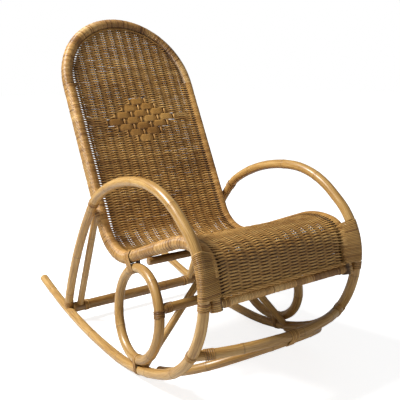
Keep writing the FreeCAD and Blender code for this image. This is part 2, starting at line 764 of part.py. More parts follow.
def diamond_splints():
    """Diamond of flat splints on the front of the woven back, each as long as two stake spacings."""
    lift = PANEL_LIFT + PANEL_THICKNESS / 2 + FIT
    step = 2 * STAKE_SPACING
    length = step - SPLINT_END_GAP
    solids = []
    for row, count in enumerate(SPLINT_ROWS):
        height = SPLINT_MIDDLE + (len(SPLINT_ROWS) // 2 - row) * SPLINT_ROW_PITCH
        for i in range(count):
            x = (i - (count - 1) / 2) * step - length / 2
            splint = Part.makeBox(length, SPLINT_THICKNESS, SPLINT_WIDTH)
            splint.translate(vec(0, -SPLINT_THICKNESS, -SPLINT_WIDTH / 2))
            splint.rotate(vec(0, 0, 0), X_AXIS, -BACK_RECLINE)
            splint.translate(back_point(x, height) + BACK_FACE * lift)
            solids.append(splint)
    nodes["diamond_splints"] = Part.makeCompound(solids)


def place():
    """Moves the chair so that the middle of its box stands over the origin."""
    box = Part.makeCompound(list(nodes.values())).optimalBoundingBox(False)
    shift = vec(0, -(box.YMin + box.YMax) / 2, -box.ZMin)
    for shape in nodes.values():
        shape.translate(shift)
    print("moved by", round(shift.y, 3), "mm along Y and", round(shift.z, 3), "mm up")


def balance():
    """Prints how far the centre of mass lies behind the floor contact, for poles of one density."""
    solids = [solid for shape in nodes.values() for solid in shape.Solids]
    volume = sum(solid.Volume for solid in solids)
    reach = sum(solid.CenterOfMass.y * solid.Volume for solid in solids) / volume
    height = sum(solid.CenterOfMass.z * solid.Volume for solid in solids) / volume
    print("centre of mass", round(reach, 1), "mm behind the contact,", round(height, 1), "mm up")


def build():
    side_loops()
    rear_posts()
    seat_frame()
    leg_wraps()
    side_rings()
    mid_bar()
    rear_bars()
    low_brace(front_stretcher())
    diagonals()
    woven_panel()
    diamond_splints()
    for name, solids in bindings.items():
        nodes[name] = Part.makeCompound(solids)
    balance()
    place()
    os.makedirs("parts", exist_ok=True)
    for name, shape in nodes.items():
        shape.exportStep(os.path.join("parts", name + ".step"))


build()
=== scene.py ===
import math

import bpy
import numpy as np
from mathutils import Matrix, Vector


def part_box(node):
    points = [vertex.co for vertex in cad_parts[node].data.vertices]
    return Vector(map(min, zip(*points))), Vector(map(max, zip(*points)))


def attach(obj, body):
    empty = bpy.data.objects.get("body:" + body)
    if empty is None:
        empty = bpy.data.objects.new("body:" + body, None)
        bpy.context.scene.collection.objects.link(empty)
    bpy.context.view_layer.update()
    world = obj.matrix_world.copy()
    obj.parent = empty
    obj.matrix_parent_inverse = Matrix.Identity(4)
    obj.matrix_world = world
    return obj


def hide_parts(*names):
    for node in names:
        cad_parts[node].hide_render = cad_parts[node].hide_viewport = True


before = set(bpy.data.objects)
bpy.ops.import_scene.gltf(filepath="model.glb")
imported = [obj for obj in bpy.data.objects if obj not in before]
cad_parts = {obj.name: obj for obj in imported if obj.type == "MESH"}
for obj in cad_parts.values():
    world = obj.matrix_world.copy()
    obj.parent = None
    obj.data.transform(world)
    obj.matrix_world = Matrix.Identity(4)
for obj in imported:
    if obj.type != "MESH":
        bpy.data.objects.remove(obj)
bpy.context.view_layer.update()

random = np.random.default_rng(20)

# Lengths are in millimetres from the rockers' floor contact, and tubes() brings them into the row frame in
# metres.
MM = 0.001
TAU = 2 * math.pi
X_AXIS = np.array([1.0, 0.0, 0.0])
MIRROR = np.array([-1.0, 1.0, 1.0])
SIDES = (("right", -1), ("left", 1))

# Poles
LOOP_POLE = 29.0
POST_POLE = 29.0
BACK_BRACE_POLE = 23.0
RING_POLE = 29.0
REAR_BAR_POLE = 35.8
MID_BAR_POLE = 27.0
STRETCHER_POLE = 27.0
LOW_BRACE_POLE = 25.0
DIAGONAL_POLE = 22.0
HOOP_POLE = 38.0
SEAT_RAIL_POLE = 33.0
FRONT_RAIL_POLE = 24.0
CROSSRAIL_POLE = 22.0
FIT = 0.2
CANE_THICKNESS = 1.6
CANE_FIT = 0.95

# Side loops
RAIL_HALF_SPAN = 236.0
LOOP_HALF_SPAN = RAIL_HALF_SPAN + (HOOP_POLE + LOOP_POLE) / 2 + CANE_THICKNESS + CANE_FIT + FIT
ROCKER_REAR_RADIUS = 2020.0
ROCKER_FRONT_RADIUS = 705.0
TAIL_REACH = 581.5
ROCKER_FRONT_REACH = 280.5
BEND_RADIUS = 300.0
LOOP_JOINT_RISE = 55.5
STRETCHER_RISE = 55.5
LEG_TOP_RADIUS = 200.0
LEG_TOP_TURN = 52.0
ARM_STRAIGHT = 35.0
ARM_FRONT_RADIUS = 270.0
ARM_TOP_RADIUS = 515.0
ARM_TOP_TURN = 32.0
ARM_REAR_RADIUS = 163.0
ARM_REAR_TURN = 18.0

# Seat and back frame
SEAT_CORNER_REACH = 73.1
SEAT_CORNER_HEIGHT = 288.4
SEAT_SLOPE = 22.5
BACK_RECLINE = 27.0
SEAT_BEND_RADIUS = 132.0
BACK_LENGTH = 841.4
CROWN_RADIUS = 200.0
CROWN_TURN = 33.5
FRONT_ROLL_RADIUS = 55.0
SEAT_SETBACK = 26.0
DROP_LEAN = 16.0
DROP_LENGTH = 106.0
FRONT_RAIL_UP = 20.0
CROSSRAIL_DISTANCE = 254.0

# Lower pieces
POST_REACH = 360.5
REAR_BAR_REACH = 340.5
REAR_BAR_LIFT = 12.0
BACK_BRACE_TOP = 197.4
RING_REACH = 145.0
RING_TURN = 4.5
MID_BAR_RISE = 6.0
DIAGONAL_REACH = 172.0
DIAGONAL_CROSSING = 12.0
STRETCHER_BOW = 77.0
STRETCHER_BOW_LIFT = 13.0
SPLICE_LENGTH = 120.0
LOW_BRACE_REACH = 210.0
LOW_BRACE_RUN = 62.0
LOW_BRACE_TILT = 54.0

# How far a pole's end stops short of the centre line of the pole that carries it, as a share of that pole
INSET = 0.35
WRAPPED_INSET = 0.3
DIAGONAL_INSET = 0.4

# Weave
PANEL_LIFT = 5.0
STAKE_SPACING = 34.0
STAKES_EACH_SIDE = 6
STAKE_RADIUS = 1.6
STAKE_FLATNESS = 1.35
ROW_PITCH = 4.27
SEAT_ROW_PITCH = 4.03
FIRST_ROW = 14.0
WEAVER_WIDTH = 5.45
WEAVER_DEPTH = 3.1
WEAVE_SWING = 2.35
ROW_WANDER = 2.2
DIAMOND_TILT = 0.07
BORDER_TWIST = 66.0
BORDER_STRAND = 2.4

# Diamond of flat splints
SPLINT_ROWS_EACH_SIDE = 3
SPLINT_ROW_PITCH = 22.5
SPLINT_WIDTH = 24.4
SPLINT_THICKNESS = 1.3
SPLINT_MIDDLE = 471.4
SPLINT_SWING = 1.5
SPLINT_PAST_STAKE = 9.0
STITCH_LIFT = 2.2
STITCH_WIDTH = 8.5

# Camera that matches the photograph
CAMERA_PLACE = (-1.0526, -1.5702, 0.8725)
CAMERA_TURN = (90 - 12.174, 0.0, -35.763)
CAMERA_LENS = 53.4

# The floor contact's place along Y in the row frame, from the rear bar's box
rear_bar_low, rear_bar_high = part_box("rear_bar")
FRAME_SHIFT = np.array([0.0, (rear_bar_low.y + rear_bar_high.y) / 2 / MM - REAR_BAR_REACH, 0.0])


# Paths in the side view and in space


def vec(x, y, z):
    return np.array([x, y, z], float)


def unit(v):
    return v / np.linalg.norm(v, axis=-1, keepdims=True)


def sin(degrees):
    return math.sin(math.radians(degrees))


def cos(degrees):
    return math.cos(math.radians(degrees))


def smooth_step(value):
    value = np.clip(value, 0, 1)
    return value * value * (3 - 2 * value)


def heading(rise):
    return vec(0, -cos(rise), sin(rise))


def upward(rise):
    return vec(0, sin(rise), cos(rise))


ARC_STEP = 3.0


def arc(start, tangent, end):
    """Points on the arc that leaves start along tangent and stops at end."""
    along = unit(end - start)
    side = tangent - along * tangent.dot(along)
    if np.linalg.norm(side) < 1e-7:
        return [start, end]
    half_turn = math.atan2(np.linalg.norm(side), tangent.dot(along))
    radius = np.linalg.norm(end - start) / 2 / math.sin(half_turn)
    inward = unit(along - tangent * along.dot(tangent))
    count = max(2, int(2 * half_turn * radius / ARC_STEP))
    turns = np.linspace(0, 2 * half_turn, count + 1)
    return [start + tangent * radius * math.sin(t) + inward * radius * (1 - math.cos(t)) for t in turns]


def biarc(start, start_tangent, end, end_tangent):
    """Points on two arcs that join both ends with the tangents given there."""
    span = end - start
    push = span.dot(start_tangent + end_tangent)
    spread = 2 * (1 - start_tangent.dot(end_tangent))
    reach = (math.sqrt(push * push + spread * span.dot(span)) - push) / spread
    first = start + start_tangent * reach
    second = end - end_tangent * reach
    meet = (first + second) / 2
    return arc(start, start_tangent, meet) + arc(meet, unit(second - first), end)


def curls(start, rise, *stretches):
    """Points on arcs that follow each other in the side view, each given by its radius and its turn."""
    points = []
    for radius, degrees in stretches:
        hub = start + upward(rise) * radius
        count = max(2, int(abs(math.radians(degrees) * radius) / ARC_STEP))
        points += [hub - upward(rise + degrees * i / count) * radius for i in range(count + 1)]
        start, rise = points[-1], rise + degrees
    return points


class Path:
    """A smooth line through points, with places on it given by the distance from its start."""

    def __init__(self, points, spacing=2.0):
        points = np.array(points, float)
        keep = np.r_[True, np.linalg.norm(np.diff(points, axis=0), axis=1) > 1e-6]
        points = points[keep]
        places = np.r_[0, np.cumsum(np.linalg.norm(np.diff(points, axis=0), axis=1))]
        self.length = places[-1]
        self.places = np.linspace(0, self.length, max(8, int(self.length / spacing)))
        self.points = np.stack([np.interp(self.places, places, points[:, k]) for k in range(3)], axis=1)
        self.tangents = unit(np.gradient(self.points, axis=0))
        self.normals = self._carried_normals()

    def _carried_normals(self):
        """Normals carried along the path without twist."""
        start = self.tangents[0]
        helper = X_AXIS if abs(start[0]) < 0.9 else vec(0, 0, 1)
        normals = [unit(helper - start * start.dot(helper))]
        for tangent in self.tangents[1:]:
            normals.append(unit(normals[-1] - tangent * tangent.dot(normals[-1])))
        return np.array(normals)

    def sample(self, field, places):
        clipped = np.clip(places, 0, self.length)
        return np.stack([np.interp(clipped, self.places, field[:, k]) for k in range(3)], axis=-1)

    def at(self, place):
        """Points, tangents and normals at places; the path goes on straight past its ends."""
        tangents = unit(self.sample(self.tangents, place))
        normals = self.sample(self.normals, place)
        normals = unit(normals - tangents * np.sum(tangents * normals, axis=-1, keepdims=True))
        beyond = place - np.clip(place, 0, self.length)
        return self.sample(self.points, place) + tangents * np.asarray(beyond)[..., None], tangents, normals

    def nearest(self, point):
        return np.argmin(np.linalg.norm(self.points - point, axis=1))

    def place_of(self, point):
        return self.places[self.nearest(point)]


def rocker_point(x, reach):
    radius = ROCKER_REAR_RADIUS if reach > 0 else ROCKER_FRONT_RADIUS
    rise = -math.degrees(math.asin(reach / radius))
    return vec(x, 0, LOOP_POLE / 2 + radius) - upward(rise) * radius, rise


def bend_point(x, rise):
    foot, foot_rise = rocker_point(x, -ROCKER_FRONT_REACH)
    return foot + (upward(foot_rise) - upward(rise)) * BEND_RADIUS


def rocker_path(x):
    tail, tail_rise = rocker_point(x, TAIL_REACH)
    front_rise = rocker_point(x, -ROCKER_FRONT_REACH)[1]
    return Path(curls(tail, tail_rise, (ROCKER_REAR_RADIUS, -tail_rise), (ROCKER_FRONT_RADIUS, front_rise),
                      (BEND_RADIUS, LOOP_JOINT_RISE - front_rise)))


def arm_path(x):
    leg = curls(bend_point(x, LOOP_JOINT_RISE), LOOP_JOINT_RISE, (BEND_RADIUS, 90 - LOOP_JOINT_RISE),
                (LEG_TOP_RADIUS, LEG_TOP_TURN))
    rise = 90 + LEG_TOP_TURN
    return Path(leg + curls(leg[-1] + heading(rise) * ARM_STRAIGHT, rise, (ARM_FRONT_RADIUS, 180 - rise),
                            (ARM_TOP_RADIUS, ARM_TOP_TURN), (ARM_REAR_RADIUS, ARM_REAR_TURN)))


SEAT_TURN = 90 - BACK_RECLINE + SEAT_SLOPE
SEAT_BEND_RUN = SEAT_BEND_RADIUS * math.tan(math.radians(SEAT_TURN / 2))
ROLL_FALL = CROWN_TURN - SEAT_SLOPE
ROLL_TURN = 90 - DROP_LEAN - ROLL_FALL
CROWN_REACH = CROWN_RADIUS * (sin(SEAT_SLOPE) + sin(ROLL_FALL))
ROLL_REACH = FRONT_ROLL_RADIUS * (cos(DROP_LEAN) - sin(ROLL_FALL))
SEAT_REACH = SEAT_CORNER_REACH - bend_point(0, 90)[1] - SEAT_SETBACK - CROWN_REACH - ROLL_REACH
SEAT_LENGTH = SEAT_REACH / cos(SEAT_SLOPE)
ARCH_BASE = BACK_LENGTH - RAIL_HALF_SPAN
BACK_UP = vec(0, sin(BACK_RECLINE), cos(BACK_RECLINE))
BACK_FACE = vec(0, -cos(BACK_RECLINE), sin(BACK_RECLINE))
DROP_DOWN = vec(0, -sin(DROP_LEAN), -cos(DROP_LEAN))
DROP_FACE = vec(0, -cos(DROP_LEAN), sin(DROP_LEAN))


def seat_point(x, distance):
    return vec(x, SEAT_CORNER_REACH, SEAT_CORNER_HEIGHT) + heading(SEAT_SLOPE) * distance


def back_point(x, distance):
    return vec(x, SEAT_CORNER_REACH, SEAT_CORNER_HEIGHT) + BACK_UP * distance


def front_arcs(x, lift):
    """Points over the crown and the roll of the seat's front, at a lift above the frame's centre line."""
    start = seat_point(x, SEAT_LENGTH) + upward(SEAT_SLOPE) * lift
    return curls(start, SEAT_SLOPE, (-CROWN_RADIUS - lift, -CROWN_TURN),
                 (-FRONT_ROLL_RADIUS - lift, -ROLL_TURN))


def drop_point(x, distance):
    return front_arcs(x, 0)[-1] + DROP_DOWN * distance


def ring_touches(side):
    """Where a ring's centre line comes nearest to rocker and seat frame, and its side view centre."""
    rocker, rise = rocker_point(side * LOOP_HALF_SPAN, -RING_REACH)
    foot = rocker + upward(rise) * ((LOOP_POLE + RING_POLE) / 2 + FIT)
    seat_up = upward(SEAT_SLOPE)
    room = (seat_point(0, 0) - foot).dot(seat_up) - (HOOP_POLE + RING_POLE) / 2 - FIT
    radius = room / (1 + cos(SEAT_SLOPE - rise))
    hub = foot + upward(rise) * radius
    head = hub + seat_up * radius
    head[0] = side * RAIL_HALF_SPAN
    return foot, head, hub


FRAME_JOINT = (ring_touches(1)[1] - seat_point(0, 0)).dot(heading(SEAT_SLOPE))


def hoop_path():
    right = -RAIL_HALF_SPAN
    leg = [seat_point(right, FRAME_JOINT)]
    leg += arc(seat_point(right, SEAT_BEND_RUN), -heading(SEAT_SLOPE), back_point(right, SEAT_BEND_RUN))
    turns = np.linspace(0, math.pi, 240)
    arch = [back_point(right * math.cos(t), ARCH_BASE + RAIL_HALF_SPAN * math.sin(t)) for t in turns]
    return Path(leg + arch + [point * MIRROR for point in leg[::-1]])


def seat_rail_path(x):
    return Path([seat_point(x, FRAME_JOINT)] + front_arcs(x, 0) + [drop_point(x, DROP_LENGTH)])


class Ring:
    """A side ring, with places on it given by the angle above its foremost point."""

    def __init__(self, side):
        self.foot, self.head, side_hub = ring_touches(side)
        middle = (self.foot + self.head) / 2
        self.upright = unit(self.head - self.foot)
        forward = vec(0, -1, 0)
        ahead = unit(forward - self.upright * self.upright.dot(forward))
        outward = np.cross(self.upright, ahead) * side
        self.forward = ahead * cos(RING_TURN) + outward * sin(RING_TURN)
        self.hub = middle + self.forward * ahead.dot(side_hub - middle)
        self.radius = np.linalg.norm(self.hub - self.foot)
        self.path = Path([self.at(a) for a in np.linspace(-90, 270, 241)])

    def at(self, degrees):
        return self.hub + (self.forward * cos(degrees) + self.upright * sin(degrees)) * self.radius


def stretcher_apex():
    return bend_point(0, STRETCHER_RISE) + vec(0, -STRETCHER_BOW, STRETCHER_BOW_LIFT)


def stretcher_path():
    """Arc through both loops and the apex."""
    start = bend_point(-LOOP_HALF_SPAN, STRETCHER_RISE)
    end = bend_point(LOOP_HALF_SPAN, STRETCHER_RISE)
    rise = stretcher_apex() - (start + end) / 2
    half_turn = 2 * math.atan(np.linalg.norm(rise) / LOOP_HALF_SPAN)
    return Path(arc(start, X_AXIS * math.cos(half_turn) + unit(rise) * math.sin(half_turn), end))


def low_brace_path():
    x = LOOP_HALF_SPAN - (LOOP_POLE + LOW_BRACE_POLE) / 2 - FIT
    under = (STRETCHER_POLE + LOW_BRACE_POLE) / 2 + FIT
    middle = stretcher_apex() + vec(0, cos(LOW_BRACE_TILT), -sin(LOW_BRACE_TILT)) * under
    leave_reach = -LOW_BRACE_REACH - LOW_BRACE_RUN
    leave, leave_rise = rocker_point(-x, leave_reach)
    end, rise = rocker_point(-x, -LOW_BRACE_REACH)
    half = arc(end, heading(rise), leave) + biarc(leave, heading(leave_rise), middle, X_AXIS)
    return Path(half + [point * MIRROR for point in half[::-1]])


# Meshes


def bands(first, second):
    """Faces between neighbouring lines of point numbers."""
    return np.stack([first[:-1], second[:-1], second[1:], first[1:]], axis=-1).reshape(-1, 4)


def placed(name, data):
    """Object in the scene with the data given."""
    thing = bpy.data.objects.new(name, data)
    bpy.context.scene.collection.objects.link(thing)
    return thing


def tubes(name, grids, seam_shift=0, capped=True):
    """One mesh of tubes, each a grid of rings by sides in millimetres with its float and vector fields."""
    points, faces, fields, base = [], [], {}, 0
    for grid, values in grids:
        rings, sides = grid.shape[:2]
        index = np.arange(rings * sides).reshape(rings, sides) + base
        seam = bands(index[:rings - seam_shift, -1], index[seam_shift:, 0])
        faces += np.concatenate([bands(index[:, :-1], index[:, 1:]), seam]).tolist()
        if capped:
            faces += [index[0, ::-1].tolist(), index[-1].tolist()]
        points.append(grid.reshape(-1, 3))
        base += rings * sides
        for key, value in values.items():
            fields.setdefault(key, []).append(np.asarray(value).reshape(rings * sides, -1))
    mesh = bpy.data.meshes.new(name)
    mesh.from_pydata(((np.concatenate(points) + FRAME_SHIFT) * MM).tolist(), [], faces)
    for key, values in fields.items():
        values = np.concatenate(values).astype(np.float32)
        kind, part = ("FLOAT", "value") if values.shape[1] == 1 else ("FLOAT_VECTOR", "vector")
        mesh.attributes.new(key, kind, "POINT").data.foreach_set(part, values.ravel())
    mesh.polygons.foreach_set("use_smooth", np.ones(len(mesh.polygons), bool))
    mesh.validate()
    return placed(name, mesh)


def dress(piece, slot, *nodes):
    """Puts a piece on the chair: gives it the material named by slot, parents it to the root body and hides
    the CAD nodes that it stands for.
    """
    piece.data.materials.append(MATERIALS[slot])
    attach(piece, "root")
    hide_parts(*nodes)


def spokes(tangent, normal, angles):
    """Ways out from a line at angles from its normal."""
    return normal * np.cos(angles)[..., None] + np.cross(tangent, normal) * np.sin(angles)[..., None]


def around(path, places, angles, radii):
    """Points at distances, angles and radii about a path."""
    centre, tangent, normal = path.at(places)
    return centre + spokes(tangent, normal, angles) * np.asarray(radii)[..., None]


def drifting(places, marks, mean=0.0, spread=1.0):
    """Random values at marks, read between them at places."""
    return np.interp(places, marks, random.normal(mean, spread, len(marks)))


def full_turn(sides):
    return np.arange(sides) * TAU / sides


WEAVER_SIDES = 8
ROUND_ANGLES = full_turn(WEAVER_SIDES)
ROUND_SECTION = np.stack([np.cos(ROUND_ANGLES), np.sin(ROUND_ANGLES)], axis=1)
CANE_SECTION = np.array([(-0.5, 0.0), (-0.42, 0.75), (-0.18, 1.0), (0.18, 1.0), (0.42, 0.75), (0.5, 0.0)])
SPLINT_SECTION = np.array([(-1, -0.3), (-0.94, 0.6), (-0.6, 1), (0.6, 1), (0.94, 0.6), (1, -0.3),
                           (0.6, -0.6), (-0.6, -0.6)])


def swept(centre, across, width, out, depth, section=ROUND_SECTION):
    """Grid of a strand: a section, in shares of a width and a depth, carried along a line of points."""
    widths = section[:, 0] * np.asarray(width)[..., None]
    return (centre[:, None, :] + across[:, None, :] * widths[..., None]
            + out[:, None, :] * (section[:, 1] * depth)[:, None])


def strand(grid, *values):
    """A strand's grid with its fields: tint, how much painted shade darkens it, and three places in the
    streaks.
    """
    tint, painted_shade, *grain = [np.broadcast_to(value, grid.shape[:2]) for value in values]
    return grid, {"tint": tint, "painted_shade": painted_shade, "grain": np.stack(grain, axis=-1)}


# Share of the palest colour that a pole keeps; the ring and the lower poles keep less, partly their own
# darker tone and partly painted shade from the seat above, the rear bar and crossrail most
POLE_TONE = 1.0
RING_TONE = 0.85
LOW_POLE_TONE = 0.75
REAR_BAR_TONE = 0.35

POLE_SIDES = 24
POLE_STEP = 7.0
POLE_WANDER = 0.008
WANDER_STEP = 60
NODE_SPACING = (140.0, 230.0)
NODE_STEPS = np.array([-9, -6, -4, -2.6, -1.6, -0.8, 0, 0.8, 1.6, 2.6, 4, 6, 9])
NODE_FROM_END = 12.0
NODE_SWELL = 0.7
NODE_GROOVE = 0.5
END_ROUND = 2.5
END_STEPS = END_ROUND * np.array([0.1, 0.4, 1])
END_DROP = 1.2
GRAIN_STRETCH = 0.045


def pole(path, diameter, first=0.0, short=0.0, splice=None, tone=POLE_TONE):
    """Rattan pole with growth nodes, slightly uneven, its cut ends broken at the edge."""
    last = path.length - short
    nodes = np.cumsum(random.uniform(*NODE_SPACING, size=40)) + first - random.uniform(0, NODE_SPACING[0])
    nodes = nodes[(nodes > first + NODE_FROM_END) & (nodes < last - NODE_FROM_END)]
    places = np.r_[np.arange(first, last, POLE_STEP), last, (nodes[:, None] + NODE_STEPS).ravel(),
                   first + END_STEPS, last - END_STEPS]
    places = np.unique(np.round(places[(places >= first) & (places <= last)], 2))
    gaps = np.abs(places[:, None] - nodes).min(axis=1) if len(nodes) else np.full(len(places), 99.0)
    marks = np.arange(first, last + 2 * WANDER_STEP, WANDER_STEP)
    radii = diameter / 2 * (1 + drifting(places, marks, spread=POLE_WANDER))
    radii += NODE_SWELL * np.exp(-(gaps / 5) ** 2) - NODE_GROOVE * np.exp(-(gaps / 1.1) ** 2)
    from_end = np.clip(np.minimum(places - first, last - places) / END_ROUND, 0, 1)
    radii -= END_DROP * (1 - np.sqrt(np.clip(1 - (1 - from_end) ** 2, 0, 1)))
    place_grid, angle_grid = np.meshgrid(places, full_turn(POLE_SIDES), indexing="ij")
    if splice is not None:
        place_grid = splice(path, place_grid, angle_grid, diameter / 2)
    grid = around(path, place_grid, angle_grid, radii[:, None])
    along = place_grid * GRAIN_STRETCH + random.uniform(0, 40) * 9
    grain = np.stack([np.cos(angle_grid) * diameter / 2, np.sin(angle_grid) * diameter / 2, along], axis=-1)
    mark = np.repeat(np.exp(-(gaps / 1.6) ** 2)[:, None], POLE_SIDES, axis=1)
    return grid, {"grain": grain, "mark": mark, "tone": np.full(place_grid.shape, tone)}


WRAP_SIDES = 22
WRAP_STEPS = np.array([0.0, 0.1, 0.28, 0.5, 0.72, 0.9])
WRAP_DEPTH = 1.1
WRAP_UNEVENNESS = 0.22
PATCH_TURNS = 8
DARK_TURNS = 0.07
STAIN = 0.35
# Strength of the painted shade on a rail's side towards the weave
WEAVE_SIDE_SHADE = 0.97


def wrapped_pole(path, diameter, pitch, first=0.0, short=0.0, inward=None, stained=None):
    """Pole wound with cane: a helical skin of rounded turns, with painted shade between the turns and on the
    side the weave closes in.
    """
    last = path.length - short
    turns = int((last - first) / pitch)
    steps = (np.arange(turns)[:, None] + WRAP_STEPS).ravel()
    share = np.tile(WRAP_STEPS, turns)
    step_grid, angle_grid = np.meshgrid(steps, full_turn(WRAP_SIDES), indexing="ij")
    rise = np.sqrt(np.clip(1 - (2 * share - 1) ** 2, 0, 1))
    lift = random.normal(0, WRAP_UNEVENNESS, turns + 2)
    patches = drifting(np.arange(turns + 2), np.arange(0, turns + 12, PATCH_TURNS))
    tint = np.clip(0.5 + 0.2 * patches + random.normal(0, 0.15, turns + 2), 0, 1)
    tint = np.where(random.uniform(0, 1, turns + 2) < DARK_TURNS, 0.1, tint)
    if stained is not None:
        reach = first + np.arange(turns + 2) * pitch
        tint = np.where((reach > stained[0]) & (reach < stained[1]), STAIN * tint, tint)
    which = np.repeat(np.arange(turns), len(WRAP_STEPS))
    radii = diameter / 2 - WRAP_DEPTH * (1 - rise) + lift[which] * rise
    place_grid = first + (step_grid + angle_grid / TAU) * (last - first) / (turns + 1)
    grid = around(path, place_grid, angle_grid, radii[:, None])
    # Painted shade in the hollows between the turns
    painted_shade = (1 - rise)[:, None]
    # Painted shade on the side that faces the weave: wide along the rails, only the inmost edge round the
    # arch
    if inward is not None:
        centre = path.at(place_grid)[0]
        facing = np.sum((grid - centre) * inward(centre), axis=-1) * 2 / diameter
        beside = smooth_step(0.5 - (centre - back_point(0, ARCH_BASE)) @ BACK_UP / 20)
        painted_shade = np.maximum(painted_shade, WEAVE_SIDE_SHADE * smooth_step((facing - 0.6 + 0.5 * beside) / 0.3))
    tint = tint[which][:, None]
    return strand(grid, tint, painted_shade, place_grid, angle_grid * 2, tint * 60)


CANE_STEPS = 26


def cane_strip(path, first, turns, pitch, radius, width, thickness, other=None, other_radius=0.0):
    """Flat cane wound round one pole, or round two side by side, as one strip."""
    angles = np.arange(int(turns * CANE_STEPS) + 1) * TAU / CANE_STEPS
    centres, axes, across = path.at(first + angles / TAU * pitch)
    gap = np.zeros_like(centres)
    if other is not None:
        for i, (centre, axis) in enumerate(zip(centres, axes)):
            step = other.points[other.nearest(centre)] - centre
            for attempt in range(4):
                spot = other.nearest(centre + step)
                beside = other.tangents[spot]
                mean = unit(axis + beside * math.copysign(1, beside.dot(axis)))
                step = other.points[spot] - centre
                step = step - mean * mean.dot(step)
            gap[i] = step
            axes[i] = mean
        across = unit(gap)
    out = spokes(axes, across, angles)
    spine = centres + out * radius
    if other is not None:
        far = np.cos(angles) > (radius - other_radius) / np.linalg.norm(gap, axis=1)
        spine = np.where(far[:, None], centres + gap + out * other_radius, spine)
    grid = swept(spine, axes, width, out, thickness, CANE_SECTION)
    tint = np.clip(random.normal(0.5, 0.18, int(turns) + 2), 0, 1)[(angles / TAU).astype(int)][:, None]
    # Painted shade towards the strip's edges, where it meets the pole
    return strand(grid, tint, 1 - CANE_SECTION[:, 1], CANE_SECTION[:, 0] * width, angles[:, None] * 2,
                  tint * 60)


# Materials


def settle(sockets, values):
    """Sets sockets to plain values."""
    for name, value in values.items():
        sockets[name].default_value = value


class Tree:
    """The node tree of a material or of the world, and the few kinds of node that it needs."""

    def __init__(self, owner):
        owner.use_nodes = True
        self.nodes = owner.node_tree.nodes
        self.links = owner.node_tree.links

    def feed(self, socket, value):
        """Links an output to a socket, or sets the socket to a colour or a number."""
        if isinstance(value, bpy.types.NodeSocket):
            self.links.new(value, socket)
        else:
            socket.default_value = (*value, 1) if isinstance(value, tuple) else value

    def attribute(self, name, output="Fac"):
        node = self.nodes.new("ShaderNodeAttribute")
        node.attribute_name = name
        return node.outputs[output]

    def place(self):
        return self.nodes.new("ShaderNodeTexCoord").outputs["Object"]

    def camera_ray(self):
        return self.nodes.new("ShaderNodeLightPath").outputs["Is Camera Ray"]

    def ramp(self, factor, *stops):
        node = self.nodes.new("ShaderNodeValToRGB")
        elements = node.color_ramp.elements
        while len(elements) < len(stops):
            elements.new(0.5)
        for element, (place, colour) in zip(elements, stops):
            element.position = place
            element.color = (*colour, 1)
        self.links.new(factor, node.inputs[0])
        return node.outputs[0]

    def noise(self, vector, scale, detail, roughness=0.6):
        node = self.nodes.new("ShaderNodeTexNoise")
        settle(node.inputs, {"Scale": scale, "Detail": detail, "Roughness": roughness})
        self.links.new(vector, node.inputs["Vector"])
        return node.outputs["Fac"]

    def mix(self, kind, factor, first, second):
        node = self.nodes.new("ShaderNodeMix")
        node.data_type = "RGBA"
        node.blend_type = kind
        for number, value in ((0, factor), (6, first), (7, second)):
            self.feed(node.inputs[number], value)
        return node.outputs[2]

    def maths(self, operation, first, second):
        node = self.nodes.new("ShaderNodeMath")
        node.operation = operation
        self.feed(node.inputs[0], first)
        self.feed(node.inputs[1], second)
        return node.outputs[0]

    def scaled(self, value, share):
        return self.maths("MULTIPLY", value, share)

    def blend(self, first, share, second):
        """A share of the first value and the rest of the second."""
        return self.maths("ADD", self.scaled(first, share), self.scaled(second, 1 - share))


WHITE = (1.0, 1.0, 1.0)
BLACK = (0.0, 0.0, 0.0)
POLE_DARK = (0.26, 0.12, 0.028)
POLE_MID = (0.52, 0.295, 0.086)
POLE_LIGHT = (0.72, 0.47, 0.18)
POLE_NODE = (0.20, 0.10, 0.035)
# Darkest tone of a pole: aged cane together with painted shade under the seat
POLE_AGE_AND_SHADE = (0.36, 0.27, 0.17)
CANE_DARK = (0.25, 0.11, 0.025)
CANE_MID = (0.50, 0.265, 0.068)
CANE_LIGHT = (0.70, 0.41, 0.13)
# Near black colour of the painted shade mixed into cane bindings and wraps
CANE_PAINTED_SHADE = (0.045, 0.015, 0.004)
WRAP_MID = (0.66, 0.37, 0.115)
WRAP_LIGHT = (0.86, 0.56, 0.22)
WEAVE_DARK = (0.27, 0.115, 0.022)
WEAVE_MID = (0.60, 0.32, 0.085)
WEAVE_LIGHT = (0.84, 0.52, 0.175)
# Near black colour of the painted shade mixed into the weave and the splints
WEAVE_PAINTED_SHADE = (0.05, 0.016, 0.003)
SPLINT_MID = (0.52, 0.265, 0.062)
SPLINT_LIGHT = (0.70, 0.40, 0.115)
WEATHERED = (0.62, 0.56, 0.50)
WEATHER_STRETCH = (1.4, 5.0, 7.0)


def new_material(name):
    material = bpy.data.materials.new(name)
    tree = Tree(material)
    return material, tree, tree.nodes["Principled BSDF"].inputs


